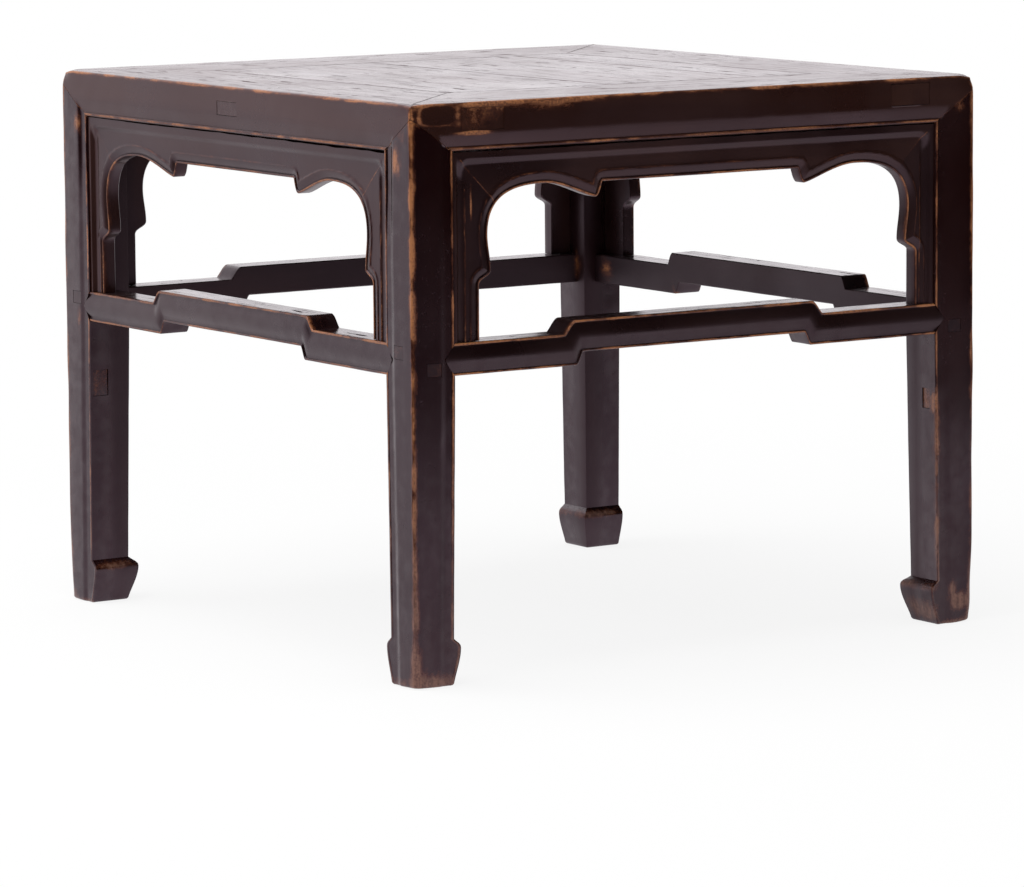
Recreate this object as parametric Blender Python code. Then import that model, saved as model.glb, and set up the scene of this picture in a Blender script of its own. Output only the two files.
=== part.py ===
"""Square flush-cornered side table, modelled as the joined wooden pieces it is made of.

Units are metres, +Z is up, and the origin is on the floor under the table's centre.
Every side of the table is modelled in its own frame: s runs along the side from its
left end as seen from outside, b runs inward from the outer face, and z runs up.
"""
import math

import bmesh
import bpy
from mathutils import Matrix
from mathutils.geometry import interpolate_bezier

# Overall size
WIDTH = 0.600
DEPTH = 0.600
HEIGHT = 0.4955

# Clearances
FIT = 0.0003
OVERCUT = 0.010
CURVE_STEPS = 7
WELD = 0.00001

# Legs with hoof feet
LEG_SIZE = 0.0435
ANKLE_SIZE = 0.0385
HOOF_HEIGHT = 0.040
HOOF_LIP_HEIGHT = 0.032
HOOF_LIP = 0.008
FOOT_SIZE = 0.0375
LEG_TENON_LENGTH = 0.010
LEG_TENON_THICKNESS = 0.009
LEG_TENON_INSET = 0.005
LEG_TENON_SETBACK = 0.008
LEG_TENON_COVER = 0.010

# Top frame
RAIL_WIDTH = 0.104
RAIL_HEIGHT = 0.041
MITRE_RISE = 0.029
RAIL_TENON_WALL = 0.008
RAIL_TENON_FLOOR = 0.017
RAIL_TENON_COVER = 0.005

# Floating top panel and its batten
PANEL_THICKNESS = 0.012
PANEL_TONGUE = 0.007
PANEL_TONGUE_THICKNESS = 0.006
PANEL_GROOVE = 0.008
PANEL_SEAM = 0.0004
MIDDLE_BOARD_WIDTH = 0.160
RIGHT_BOARD_WIDTH = 0.062
BATTEN_WIDTH = 0.034
BATTEN_HEIGHT = 0.022
BATTEN_TENON_HEIGHT = 0.012
BATTEN_TENON_DROP = 0.0015
DOVETAIL_NECK = 0.020
DOVETAIL_HEAD = 0.026
DOVETAIL_HEIGHT = 0.005

# Aprons and apron strips, with the cusped edge measured from the frame's inner corner
APRON_SETBACK = 0.005
APRON_THICKNESS = 0.014
APRON_TONGUE = 0.0045
APRON_TONGUE_THICKNESS = 0.006
APRON_TONGUE_SETBACK = 0.004
APRON_TONGUE_END = 0.008
STRIP_TONGUE_END = 0.003
STRIP_STUB_LENGTH = 0.010
STRIP_STUB_INSET = 0.006
STRIP_STUB_DEPTH = 0.004
APRON_DROP = 0.0335
CUSP_REACH = 0.1555
CUSP_DEPTH = 0.013
CUSP_WIDTH = 0.0075
ARCH_REACH = 0.088
ARCH_DROP = 0.032
WAIST_WIDTH = 0.031
WAIST_DROP = 0.073
BULGE_WIDTH = 0.034
BULGE_DROP = 0.103
STRIP_WIDTH = 0.022
STEP_DROP = 0.115

# Humpback stretchers
APRON_OPENING = 0.1625
STRETCHER_HEIGHT = 0.0275
STRETCHER_THICKNESS = 0.029
STRETCHER_INSET = 0.0015
HUMP_REACH = 0.1185
HUMP_RUN = 0.0115
HUMP_RISE = 0.0115
UNDER_STEP_SHIFT = 0.0125
UNDER_STEP_RUN = 0.007
SHOULDER_POINT = 0.010
SHOULDER_DEPTH = 0.008
STRETCHER_TENON_WIDTH = 0.014
STRETCHER_TENON_SHOULDER = 0.0015
STRETCHER_TENON_EDGE = 0.001
STRETCHER_TENON_WEB = 0.0035

# Levels that follow from the sizes
RAIL_FOOT = HEIGHT - RAIL_HEIGHT
MITRE_TOP = RAIL_FOOT + MITRE_RISE
MITRE_SLOPE = MITRE_RISE / LEG_SIZE
PANEL_FOOT = HEIGHT - PANEL_THICKNESS
STRETCHER_TOP = RAIL_FOOT - APRON_OPENING
STRETCHER_FOOT = STRETCHER_TOP - STRETCHER_HEIGHT
BATTEN_TOP = PANEL_FOOT - FIT
HALF_OPENING_X = WIDTH / 2 - RAIL_WIDTH
HALF_OPENING_Y = DEPTH / 2 - RAIL_WIDTH

# The groove line that the apron and strip tongues share
TONGUE_FRONT = APRON_SETBACK + APRON_TONGUE_SETBACK
TONGUE_BACK = TONGUE_FRONT + APRON_TONGUE_THICKNESS

# The stretcher tenon's place across the leg
STRETCHER_BACK = STRETCHER_INSET + STRETCHER_THICKNESS
TENON_BACK = STRETCHER_BACK - STRETCHER_TENON_SHOULDER
TENON_FRONT = TENON_BACK - STRETCHER_TENON_WIDTH

# The side rails' through tenons, measured from the side rail's outer face
RAIL_TENON_START = LEG_SIZE + RAIL_TENON_WALL
RAIL_TENON_END = RAIL_WIDTH - PANEL_GROOVE - RAIL_TENON_WALL / 4
RAIL_TENON_BOTTOM = RAIL_FOOT + RAIL_TENON_FLOOR
RAIL_TENON_TOP = HEIGHT - RAIL_TENON_COVER

# Each side with its neighbours at its left and right end, seen from outside
SIDES = (
    ("front", "left", "right", 0),
    ("right", "front", "back", 90),
    ("back", "right", "left", 180),
    ("left", "back", "front", 270),
)

# Drawing planes: an outline's two axes and its thickness axis, as table axes
PLANES = {
    "side": Matrix(((1, 0, 0), (0, 0, 1), (0, 1, 0))).to_4x4(),
    "end": Matrix(((0, 0, 1), (1, 0, 0), (0, 1, 0))).to_4x4(),
    "plan": Matrix.Identity(4),
}

# Lacquer seen on each kind of piece: base colour and roughness
LACQUER = {
    "leg": ((0.020, 0.009, 0.008), 0.32),
    "rail": ((0.026, 0.011, 0.008), 0.30),
    "board": ((0.034, 0.015, 0.010), 0.34),
    "batten": ((0.090, 0.050, 0.030), 0.60),
    "apron": ((0.018, 0.008, 0.007), 0.34),
    "strip": ((0.017, 0.008, 0.007), 0.34),
    "stretcher": ((0.022, 0.009, 0.008), 0.30),
}


def clear_scene():
    """Start from an empty scene."""
    for item in list(bpy.data.objects):
        bpy.data.objects.remove(item, do_unlink=True)


def make_collection(name):
    """A named collection linked to the scene."""
    group = bpy.data.collections.new(name)
    bpy.context.scene.collection.children.link(group)
    return group


def lacquer_material(kind):
    """The lacquered wood of one kind of piece."""
    colour, roughness = LACQUER[kind]
    material = bpy.data.materials.new(kind + "_lacquer")
    material.use_nodes = True
    shader = material.node_tree.nodes["Principled BSDF"]
    shader.inputs["Base Color"].default_value = (*colour, 1.0)
    shader.inputs["Roughness"].default_value = roughness
    shader.inputs["Metallic"].default_value = 0.0
    return material


def mesh_object(name, mesh):
    """An object for a mesh, linked to the scene while it is being worked."""
    item = bpy.data.objects.new(name, mesh)
    bpy.context.scene.collection.objects.link(item)
    return item


def box(low, high):
    """A closed block between two corners."""
    size = [top - bottom for bottom, top in zip(low, high)]
    centre = [(top + bottom) / 2 for bottom, top in zip(low, high)]
    shape = bmesh.new()
    matrix = Matrix.Translation(centre) @ Matrix.Diagonal((*size, 1.0))
    bmesh.ops.create_cube(shape, size=1.0, matrix=matrix)
    mesh = bpy.data.meshes.new("block")
    shape.to_mesh(mesh)
    shape.free()
    return mesh_object("block", mesh)


def plate(plane, outline, low, high):
    """A flat outline on a drawing plane, given its thickness from low to high."""
    curve = bpy.data.curves.new("outline", "CURVE")
    curve.dimensions = "2D"
    curve.fill_mode = "BOTH"
    curve.extrude = (high - low) / 2
    spline = curve.splines.new("POLY")
    spline.points.add(len(outline) - 1)
    for point, (u, v) in zip(spline.points, outline):
        point.co = (u, v, 0.0, 1.0)
    spline.use_cyclic_u = True
    drawn = mesh_object("outline", curve)
    middle = Matrix.Translation((0.0, 0.0, (high + low) / 2))
    mesh = evaluated_mesh(drawn)
    bpy.data.objects.remove(drawn)
    shape = bmesh.new()
    shape.from_mesh(mesh)
    bmesh.ops.remove_doubles(shape, verts=shape.verts, dist=WELD)
    bmesh.ops.transform(shape, matrix=PLANES[plane] @ middle, verts=shape.verts)
    bmesh.ops.recalc_face_normals(shape, faces=shape.faces)
    shape.to_mesh(mesh)
    shape.free()
    return mesh_object("plate", mesh)


def evaluated_mesh(item):
    """The object's mesh with its modifiers applied."""
    graph = bpy.context.evaluated_depsgraph_get()
    return bpy.data.meshes.new_from_object(item.evaluated_get(graph))


def combine(target, other, operation):
    """Apply one Boolean to the target and remove the other shape."""
    modifier = target.modifiers.new(operation, "BOOLEAN")
    modifier.operation = operation
    modifier.object = other
    mesh = evaluated_mesh(target)
    target.modifiers.clear()
    target.data = mesh
    bpy.data.objects.remove(other)


def cut(target, *cutters):
    """Cut each cutter out of the target."""
    for cutter in cutters:
        combine(target, cutter, "DIFFERENCE")


def add(target, *extras):
    """Join each extra shape to the target."""
    for extra in extras:
        combine(target, extra, "UNION")


def both_ends(length, low, high):
    """Blocks at the left end of a side and mirrored at its right end."""
    mirrored_low = (length - high[0], *low[1:])
    mirrored_high = (length - low[0], *high[1:])
    return box(low, high), box(mirrored_low, mirrored_high)


def mirrored(outline, length):
    """An outline mirrored to the other end of a side, in the same turning sense."""
    return [(length - s, z) for s, z in reversed(outline)]


def smooth(start, start_pull, end_pull, end):
    """A curved stretch of an outline; the pulls are offsets from its two ends."""
    start_handle = (start[0] + start_pull[0], start[1] + start_pull[1])
    end_handle = (end[0] + end_pull[0], end[1] + end_pull[1])
    points = interpolate_bezier(start, start_handle, end_handle, end, CURVE_STEPS)
    return [(point[0], point[1]) for point in points]


def stretcher_tenon_levels(upper):
    """Bottom and top of a stretcher's tenon; crossing tenons pass one above the other."""
    middle = (STRETCHER_FOOT + STRETCHER_TOP) / 2
    if upper:
        return middle + STRETCHER_TENON_WEB / 2, STRETCHER_TOP - STRETCHER_TENON_EDGE
    return STRETCHER_FOOT + STRETCHER_TENON_EDGE, middle - STRETCHER_TENON_WEB / 2


def shoulder_outline(slack):
    """The pointed shoulder where a stretcher's face is let into the leg."""
    root = LEG_SIZE + FIT + OVERCUT / 10
    middle = (STRETCHER_FOOT + STRETCHER_TOP) / 2
    half = STRETCHER_HEIGHT / 2 + slack
    tip = LEG_SIZE - SHOULDER_POINT - slack
    return [(tip, middle), (LEG_SIZE, middle - half), (root, middle - half), (root, middle + half),
            (LEG_SIZE, middle + half)]


def leg_outline():
    """The leg seen from one side: flush outside, tapered inside, hoof turned inward."""
    lip = ANKLE_SIZE + HOOF_LIP
    swell = HOOF_LIP_HEIGHT / 3
    hollow = HOOF_HEIGHT - HOOF_LIP_HEIGHT
    face = smooth((FOOT_SIZE, 0.0), (HOOF_LIP / 3, swell), (0.0, -swell), (lip, HOOF_LIP_HEIGHT))
    top = smooth((lip, HOOF_LIP_HEIGHT), (0.0, hollow / 2), (HOOF_LIP / 3, -hollow / 3),
                 (ANKLE_SIZE, HOOF_HEIGHT))
    return [(0.0, 0.0), *face, *top[1:], (LEG_SIZE, STRETCHER_FOOT), (LEG_SIZE, RAIL_FOOT), (0.0, MITRE_TOP)]


def build_leg(upper_along_a):
    """A corner leg in its own frame: a along one side, b along the other."""
    outline = leg_outline()
    reach = max(LEG_SIZE, ANKLE_SIZE + HOOF_LIP) + OVERCUT
    leg = plate("side", outline, -OVERCUT, reach)
    combine(leg, plate("end", outline, -OVERCUT, reach), "INTERSECT")
    tenon_far = LEG_SIZE - LEG_TENON_INSET
    tenon_near = tenon_far - LEG_TENON_LENGTH
    tenon_out = LEG_TENON_SETBACK
    tenon_in = tenon_out + LEG_TENON_THICKNESS
    bottom = RAIL_FOOT - OVERCUT
    top = HEIGHT - LEG_TENON_COVER
    add(leg, box((tenon_near, tenon_out, bottom), (tenon_far, tenon_in, top)))
    add(leg, box((tenon_out, tenon_near, bottom), (tenon_in, tenon_far, top)))
    along_low, along_high = stretcher_tenon_levels(upper_along_a)
    across_low, across_high = stretcher_tenon_levels(not upper_along_a)
    front = TENON_FRONT - FIT
    back = TENON_BACK + FIT
    through = LEG_SIZE + OVERCUT
    cut(leg, box((-OVERCUT, front, along_low - FIT), (through, back, along_high + FIT)))
    cut(leg, box((front, -OVERCUT, across_low - FIT), (back, through, across_high + FIT)))
    notch = shoulder_outline(FIT)
    notch_depth = STRETCHER_INSET + SHOULDER_DEPTH + FIT
    cut(leg, plate("side", notch, -OVERCUT, notch_depth), plate("end", notch, -OVERCUT, notch_depth))
    groove = LEG_SIZE - APRON_TONGUE - FIT
    groove_low = STRETCHER_TOP + STRIP_TONGUE_END - FIT
    groove_high = RAIL_FOOT - APRON_TONGUE_END + FIT
    cut(leg, box((groove, TONGUE_FRONT - FIT, groove_low), (through, TONGUE_BACK + FIT, groove_high)))
    cut(leg, box((TONGUE_FRONT - FIT, groove, groove_low), (TONGUE_BACK + FIT, through, groove_high)))
    return leg


def leg_clearance(length):
    """The room that a rail leaves for the mitred head of the leg at each of its ends."""
    reach = LEG_SIZE + FIT
    lift = FIT * math.hypot(1.0, MITRE_SLOPE)
    low = RAIL_FOOT - OVERCUT
    outline = [
        (-OVERCUT, low),
        (reach, low),
        (reach, MITRE_TOP - MITRE_SLOPE * reach + lift),
        (-OVERCUT, MITRE_TOP + MITRE_SLOPE * OVERCUT + lift),
    ]
    return (plate("side", outline, -OVERCUT, reach),
            plate("side", mirrored(outline, length), -OVERCUT, reach))


def build_rail(length, carries_tenons):
    """One rail of the top frame, mitred at both ends."""
    shift = FIT / math.sqrt(2.0)
    outline = [(shift, 0.0), (length - shift, 0.0), (length - RAIL_WIDTH - shift, RAIL_WIDTH),
               (RAIL_WIDTH + shift, RAIL_WIDTH)]
    rail = plate("plan", outline, RAIL_FOOT, HEIGHT)
    cut(rail, *leg_clearance(length))
    mortise_far = LEG_SIZE - LEG_TENON_INSET + FIT
    mortise_near = mortise_far - LEG_TENON_LENGTH - 2 * FIT
    mortise_low = (mortise_near, LEG_TENON_SETBACK - FIT, RAIL_FOOT - OVERCUT)
    mortise_high = (mortise_far, LEG_TENON_SETBACK + LEG_TENON_THICKNESS + FIT, HEIGHT - LEG_TENON_COVER + FIT)
    cut(rail, *both_ends(length, mortise_low, mortise_high))
    if carries_tenons:
        tenon_low = (0.0, RAIL_TENON_START, RAIL_TENON_BOTTOM)
        tenon_high = (RAIL_WIDTH + OVERCUT, RAIL_TENON_END, RAIL_TENON_TOP)
        add(rail, *both_ends(length, tenon_low, tenon_high))
        half = BATTEN_WIDTH / 2 + FIT
        top = BATTEN_TOP - BATTEN_TENON_DROP
        cut(rail, box((length / 2 - half, -OVERCUT, top - BATTEN_TENON_HEIGHT - FIT),
                      (length / 2 + half, RAIL_WIDTH + OVERCUT, top + FIT)))
    else:
        slot_low = (RAIL_TENON_START - FIT, -OVERCUT, RAIL_TENON_BOTTOM - FIT)
        slot_high = (RAIL_TENON_END + FIT, RAIL_WIDTH + OVERCUT, RAIL_TENON_TOP + FIT)
        cut(rail, *both_ends(length, slot_low, slot_high))
    groove = RAIL_WIDTH - PANEL_GROOVE
    cut(rail, box((groove, groove, PANEL_FOOT - FIT),
                  (length - groove, RAIL_WIDTH + OVERCUT, PANEL_FOOT + PANEL_TONGUE_THICKNESS + FIT)))
    cut(rail, box((LEG_SIZE + FIT, TONGUE_FRONT - FIT, RAIL_FOOT - OVERCUT),
                  (length - LEG_SIZE - FIT, TONGUE_BACK + FIT, RAIL_FOOT + APRON_TONGUE + FIT)))
    return rail


def dovetail_outline(slack, foot):
    """The batten's dovetail and what leads into it from below, across the table."""
    neck = DOVETAIL_NECK / 2 + slack
    head = DOVETAIL_HEAD / 2 + slack
    top = PANEL_FOOT + DOVETAIL_HEIGHT + slack
    return [(-neck, foot), (neck, foot), (neck, PANEL_FOOT), (head, top), (-head, top), (-neck, PANEL_FOOT)]


def build_board(start, end, tongue_at_start, tongue_at_end):
    """One board of the floating panel, its grain along the table's depth."""
    low_x = start - PANEL_TONGUE if tongue_at_start else start
    high_x = end + PANEL_TONGUE if tongue_at_end else end
    reach = HALF_OPENING_Y + PANEL_TONGUE
    board = box((low_x, -reach, PANEL_FOOT), (high_x, reach, HEIGHT))
    ledge = PANEL_FOOT + PANEL_TONGUE_THICKNESS
    above = HEIGHT + OVERCUT
    shoulder = HALF_OPENING_Y - PANEL_SEAM
    outside = reach + OVERCUT
    cut(board, box((low_x - OVERCUT, shoulder, ledge), (high_x + OVERCUT, outside, above)))
    cut(board, box((low_x - OVERCUT, -outside, ledge), (high_x + OVERCUT, -shoulder, above)))
    if tongue_at_start:
        cut(board, box((low_x - OVERCUT, -outside, ledge), (start + PANEL_SEAM, outside, above)))
    if tongue_at_end:
        cut(board, box((end - PANEL_SEAM, -outside, ledge), (high_x + OVERCUT, outside, above)))
    cut(board, plate("end", dovetail_outline(FIT, PANEL_FOOT - OVERCUT), low_x - OVERCUT, high_x + OVERCUT))
    return board


def build_batten():
    """The cross batten that keeps the panel flat, dovetailed to it and tenoned into the side rails."""
    half = BATTEN_WIDTH / 2
    foot = BATTEN_TOP - BATTEN_HEIGHT
    length = HALF_OPENING_X - FIT
    batten = box((-length, -half, foot), (length, half, BATTEN_TOP))
    add(batten, plate("end", dovetail_outline(0.0, foot + FIT), -length, length))
    top = BATTEN_TOP - BATTEN_TENON_DROP
    add(batten, box((-WIDTH / 2, -half, top - BATTEN_TENON_HEIGHT), (WIDTH / 2, half, top)))
    return batten


def cusped_edge():
    """The apron's inner edge from the middle of a side to the foot of the left strip.

    Offsets are from the inner corner of leg and rail, along the side and down.
    """
    ledge = (CUSP_REACH, APRON_DROP)
    cusp = (CUSP_REACH - CUSP_WIDTH, APRON_DROP + CUSP_DEPTH)
    arch = (ARCH_REACH, ARCH_DROP)
    waist = (WAIST_WIDTH, WAIST_DROP)
    bulge = (BULGE_WIDTH, BULGE_DROP)
    step = (STRIP_WIDTH, STEP_DROP)
    arch_pull = (CUSP_REACH - ARCH_REACH) / 3
    waist_pull = (WAIST_DROP - ARCH_DROP) / 2
    bulge_pull = (BULGE_DROP - WAIST_DROP) / 3
    step_pull = (STEP_DROP - BULGE_DROP) / 2
    edge = smooth(ledge, (-CUSP_WIDTH / 5, CUSP_DEPTH / 2), (CUSP_WIDTH / 2, CUSP_DEPTH / 20), cusp)
    edge += smooth(cusp, (-2 * CUSP_WIDTH, -CUSP_DEPTH / 4), (arch_pull, 0.0), arch)[1:]
    edge += smooth(arch, (-arch_pull, 0.0), (0.0, -waist_pull), waist)[1:]
    edge += smooth(waist, (0.0, bulge_pull), (0.0, -bulge_pull), bulge)[1:]
    edge += smooth(bulge, (0.0, step_pull), (0.0, -step_pull), step)[1:]
    return edge


def apron_frame(length):
    """The whole three-sided cusped frame of one side, before it is split at its mitres."""
    foot = STRETCHER_TOP + FIT
    head = RAIL_FOOT - FIT
    outside = LEG_SIZE + FIT
    left = [(LEG_SIZE + along, RAIL_FOOT - down) for along, down in cusped_edge()]
    left.append((LEG_SIZE + STRIP_WIDTH, foot))
    outline = [(outside, foot), (outside, head), (length - outside, head), (length - outside, foot)]
    outline += mirrored(left, length)
    outline += left
    return plate("side", outline, APRON_SETBACK, APRON_SETBACK + APRON_THICKNESS)


def mitre_wedge(length, at_right_end, slack):
    """What lies on the strip's side of the 45 degree mitre between apron and strip."""
    shift = slack / math.sqrt(2.0)
    depth = APRON_OPENING + OVERCUT
    outside = LEG_SIZE - OVERCUT
    outline = [(outside + shift, RAIL_FOOT + OVERCUT), (outside - OVERCUT, RAIL_FOOT + OVERCUT),
               (outside - OVERCUT, RAIL_FOOT - depth), (LEG_SIZE + depth + shift, RAIL_FOOT - depth)]
    if at_right_end:
        outline = mirrored(outline, length)
    return plate("side", outline, APRON_SETBACK - OVERCUT, APRON_SETBACK + APRON_THICKNESS + OVERCUT)


def build_apron(length):
    """The horizontal apron under a rail, with its tongue."""
    apron = apron_frame(length)
    cut(apron, mitre_wedge(length, False, FIT), mitre_wedge(length, True, FIT))
    end = LEG_SIZE + APRON_TONGUE_END
    add(apron, box((end, TONGUE_FRONT, RAIL_FOOT - APRON_TONGUE),
                   (length - end, TONGUE_BACK, RAIL_FOOT + APRON_TONGUE)))
    return apron


def build_strip(length, at_right_end):
    """The upright apron strip beside a leg, tongued into the leg and stubbed into the stretcher."""
    strip = apron_frame(length)
    combine(strip, mitre_wedge(length, at_right_end, -FIT), "INTERSECT")
    tongue_low = (LEG_SIZE - APRON_TONGUE, TONGUE_FRONT, STRETCHER_TOP + STRIP_TONGUE_END)
    tongue_high = (LEG_SIZE + APRON_TONGUE, TONGUE_BACK, RAIL_FOOT - APRON_TONGUE_END)
    stub_start = LEG_SIZE + STRIP_STUB_INSET
    stub_low = (stub_start, TONGUE_FRONT, STRETCHER_TOP - STRIP_STUB_DEPTH)
    stub_high = (stub_start + STRIP_STUB_LENGTH, TONGUE_BACK, STRETCHER_TOP + STRIP_STUB_DEPTH)
    which = 1 if at_right_end else 0
    for low, high in ((tongue_low, tongue_high), (stub_low, stub_high)):
        pair = both_ends(length, low, high)
        add(strip, pair[which])
        bpy.data.objects.remove(pair[1 - which])
    return strip


def hump_edge(length, start, run, level):
    """An edge of a stretcher from left to right, stepping up over the hump."""
    raised = level + HUMP_RISE
    pull = run * 0.6
    left = [(LEG_SIZE + FIT, level)]
    left += smooth((start, level), (pull, 0.0), (-pull, 0.0), (start + run, raised))
    return left + mirrored(left, length)


def build_stretcher(length, upper):
    """A humpback stretcher with pointed shoulders and through tenons."""
    hump = LEG_SIZE + HUMP_REACH
    top_edge = hump_edge(length, hump, HUMP_RUN, STRETCHER_TOP)
    under_edge = hump_edge(length, hump + UNDER_STEP_SHIFT, UNDER_STEP_RUN, STRETCHER_FOOT)
    stretcher = plate("side", top_edge + under_edge[::-1], STRETCHER_INSET, STRETCHER_BACK)
    point = shoulder_outline(0.0)
    point_depth = STRETCHER_INSET + SHOULDER_DEPTH
    add(stretcher, plate("side", point, STRETCHER_INSET, point_depth))
    add(stretcher, plate("side", mirrored(point, length), STRETCHER_INSET, point_depth))
    low, high = stretcher_tenon_levels(upper)
    add(stretcher, *both_ends(length, (0.0, TENON_FRONT, low), (LEG_SIZE + OVERCUT, TENON_BACK, high)))
    stub_start = LEG_SIZE + STRIP_STUB_INSET - FIT
    stub_end = stub_start + STRIP_STUB_LENGTH + 2 * FIT
    socket_low = (stub_start, TONGUE_FRONT - FIT, STRETCHER_TOP - STRIP_STUB_DEPTH - FIT)
    socket_high = (stub_end, TONGUE_BACK + FIT, STRETCHER_TOP + OVERCUT)
    cut(stretcher, *both_ends(length, socket_low, socket_high))
    return stretcher


def side_frame(turn):
    """An empty at the left end of a side, turned so that its own axes are s, b and z."""
    corner = {
        0: (-WIDTH / 2, -DEPTH / 2),
        90: (WIDTH / 2, -DEPTH / 2),
        180: (WIDTH / 2, DEPTH / 2),
        270: (-WIDTH / 2, DEPTH / 2),
    }[turn]
    frame = bpy.data.objects.new("side_frame_%d" % turn, None)
    frame.location = (*corner, 0.0)
    frame.rotation_euler = (0.0, 0.0, math.radians(turn))
    bpy.context.scene.collection.objects.link(frame)
    return frame


def place(parts, name, shape, material, frame=None):
    """File a copy of a finished shape under its name, standing in its side's frame."""
    item = bpy.data.objects.new(name, shape.data)
    if not item.data.materials:
        item.data.materials.append(material)
    item.parent = frame
    parts.objects.link(item)


def corner_name(side, neighbour):
    """The name of the leg where two sides meet."""
    if side in ("front", "back"):
        return "leg_%s_%s" % (side, neighbour)
    return "leg_%s_%s" % (neighbour, side)


def side_shapes(length, long_side):
    """The shapes that two opposite sides share."""
    return {
        "leg": build_leg(long_side),
        "rail": build_rail(length, not long_side),
        "apron": build_apron(length),
        "strip_left": build_strip(length, False),
        "strip_right": build_strip(length, True),
        "stretcher": build_stretcher(length, long_side),
    }


def build_table():
    """Make every piece and put it in its place."""
    clear_scene()
    parts = make_collection("side_table")
    material = {kind: lacquer_material(kind) for kind in LACQUER}
    shapes = {True: side_shapes(WIDTH, True), False: side_shapes(DEPTH, False)}
    for side, left, right, turn in SIDES:
        frame = side_frame(turn)
        own = shapes[side in ("front", "back")]
        place(parts, corner_name(side, left), own["leg"], material["leg"], frame)
        place(parts, "top_rail_" + side, own["rail"], material["rail"], frame)
        place(parts, "apron_" + side, own["apron"], material["apron"], frame)
        place(parts, "apron_strip_%s_%s" % (side, left), own["strip_left"], material["strip"], frame)
        place(parts, "apron_strip_%s_%s" % (side, right), own["strip_right"], material["strip"], frame)
        place(parts, "stretcher_" + side, own["stretcher"], material["stretcher"], frame)
    right_seam = HALF_OPENING_X - RIGHT_BOARD_WIDTH
    left_seam = right_seam - MIDDLE_BOARD_WIDTH
    half_seam = PANEL_SEAM / 2
    boards = {
        "top_board_left": build_board(-HALF_OPENING_X, left_seam - half_seam, True, False),
        "top_board_middle": build_board(left_seam + half_seam, right_seam - half_seam, False, False),
        "top_board_right": build_board(right_seam + half_seam, HALF_OPENING_X, False, True),
    }
    for name, shape in boards.items():
        place(parts, name, shape, material["board"])
    batten = build_batten()
    place(parts, "panel_batten", batten, material["batten"])
    patterns = [batten, *boards.values(), *shapes[True].values(), *shapes[False].values()]
    for pattern in patterns:
        bpy.data.objects.remove(pattern)


build_table()
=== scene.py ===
"""Looks of the side table: carved wood under worn dark lacquer, in a plain white studio."""
from functools import partial
from math import cos, pi, radians, sin, sqrt

import bmesh
import bpy
import numpy as np
from mathutils import Matrix, Vector
from mathutils.geometry import interpolate_bezier


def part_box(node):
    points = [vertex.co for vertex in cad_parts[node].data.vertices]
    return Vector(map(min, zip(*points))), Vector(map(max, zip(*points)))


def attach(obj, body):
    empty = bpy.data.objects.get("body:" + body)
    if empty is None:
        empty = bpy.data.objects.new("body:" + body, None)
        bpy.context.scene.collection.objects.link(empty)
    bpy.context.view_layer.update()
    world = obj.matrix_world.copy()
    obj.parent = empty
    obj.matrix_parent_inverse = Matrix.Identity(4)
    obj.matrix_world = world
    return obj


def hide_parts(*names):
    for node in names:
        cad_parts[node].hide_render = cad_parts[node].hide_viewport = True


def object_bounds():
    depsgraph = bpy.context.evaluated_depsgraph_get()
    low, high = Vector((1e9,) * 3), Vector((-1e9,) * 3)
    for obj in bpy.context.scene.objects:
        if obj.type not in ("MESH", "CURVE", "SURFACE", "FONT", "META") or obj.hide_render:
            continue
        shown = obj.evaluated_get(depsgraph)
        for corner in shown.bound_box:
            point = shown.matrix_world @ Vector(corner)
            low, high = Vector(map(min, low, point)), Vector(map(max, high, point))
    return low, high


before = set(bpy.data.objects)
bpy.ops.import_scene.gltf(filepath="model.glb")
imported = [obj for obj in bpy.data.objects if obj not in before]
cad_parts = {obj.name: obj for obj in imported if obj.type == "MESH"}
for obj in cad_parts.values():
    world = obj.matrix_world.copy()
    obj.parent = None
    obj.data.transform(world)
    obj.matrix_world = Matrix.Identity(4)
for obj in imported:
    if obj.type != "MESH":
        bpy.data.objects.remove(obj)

# Sizes read from the frame
CAD_LOW, CAD_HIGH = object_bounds()
WIDTH = CAD_HIGH.x - CAD_LOW.x
DEPTH = CAD_HIGH.y - CAD_LOW.y
HEIGHT = CAD_HIGH.z
LEFT, RIGHT = -WIDTH / 2, WIDTH / 2
FRONT, BACK = -DEPTH / 2, DEPTH / 2
RAIL_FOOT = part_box("top_rail_front")[0].z
RAIL_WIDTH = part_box("top_rail_front")[1].y + DEPTH / 2
STRETCHER_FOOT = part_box("stretcher_front")[0].z
BOARD_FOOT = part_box("top_board_middle")[0].z
SEAMS = (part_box("top_board_left")[1].x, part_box("top_board_right")[0].x)

# Joint gaps and rounding
GAP = 0.00025
MITRE_GAP = 0.00008
MORTISE_GAP = 0.0003
EDGE_ROUND = 0.0010
SEAM_EDGE = 0.0010
SEAM_DROP = 0.0009
CUT_SLACK = 0.010
INSIDE_CAD = 0.00002
SHARP_ANGLE = 36.0

# How uneven the surfaces are by hand work
UNEVEN = 0.00010
CARVED_UNEVEN = 0.00005
BOARD_UNEVEN = 0.00012

# Legs
LEG_SIZE = 0.0435
ANKLE_SIZE = 0.0400
HOOF_HEIGHT = 0.040
HOOF_LIP = 0.007
HOOF_LIP_HEIGHT = 0.032
FOOT_SIZE = 0.0393
LEG_CORNER = 0.0026
FOOT_CORNER = 0.0032
FOOT_CORNER_TOP = 0.075
RAIL_CORNER = 0.0030
RAIL_ARRIS = 0.0026
MITRE_TOP = RAIL_FOOT + 0.029
MITRE_SLOPE = (MITRE_TOP - RAIL_FOOT) / LEG_SIZE
HEAD_TURN = (RAIL_FOOT - 0.080, RAIL_FOOT - 0.024)
BAND_TURN = (RAIL_FOOT - 0.090, RAIL_FOOT - 0.024)

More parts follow.
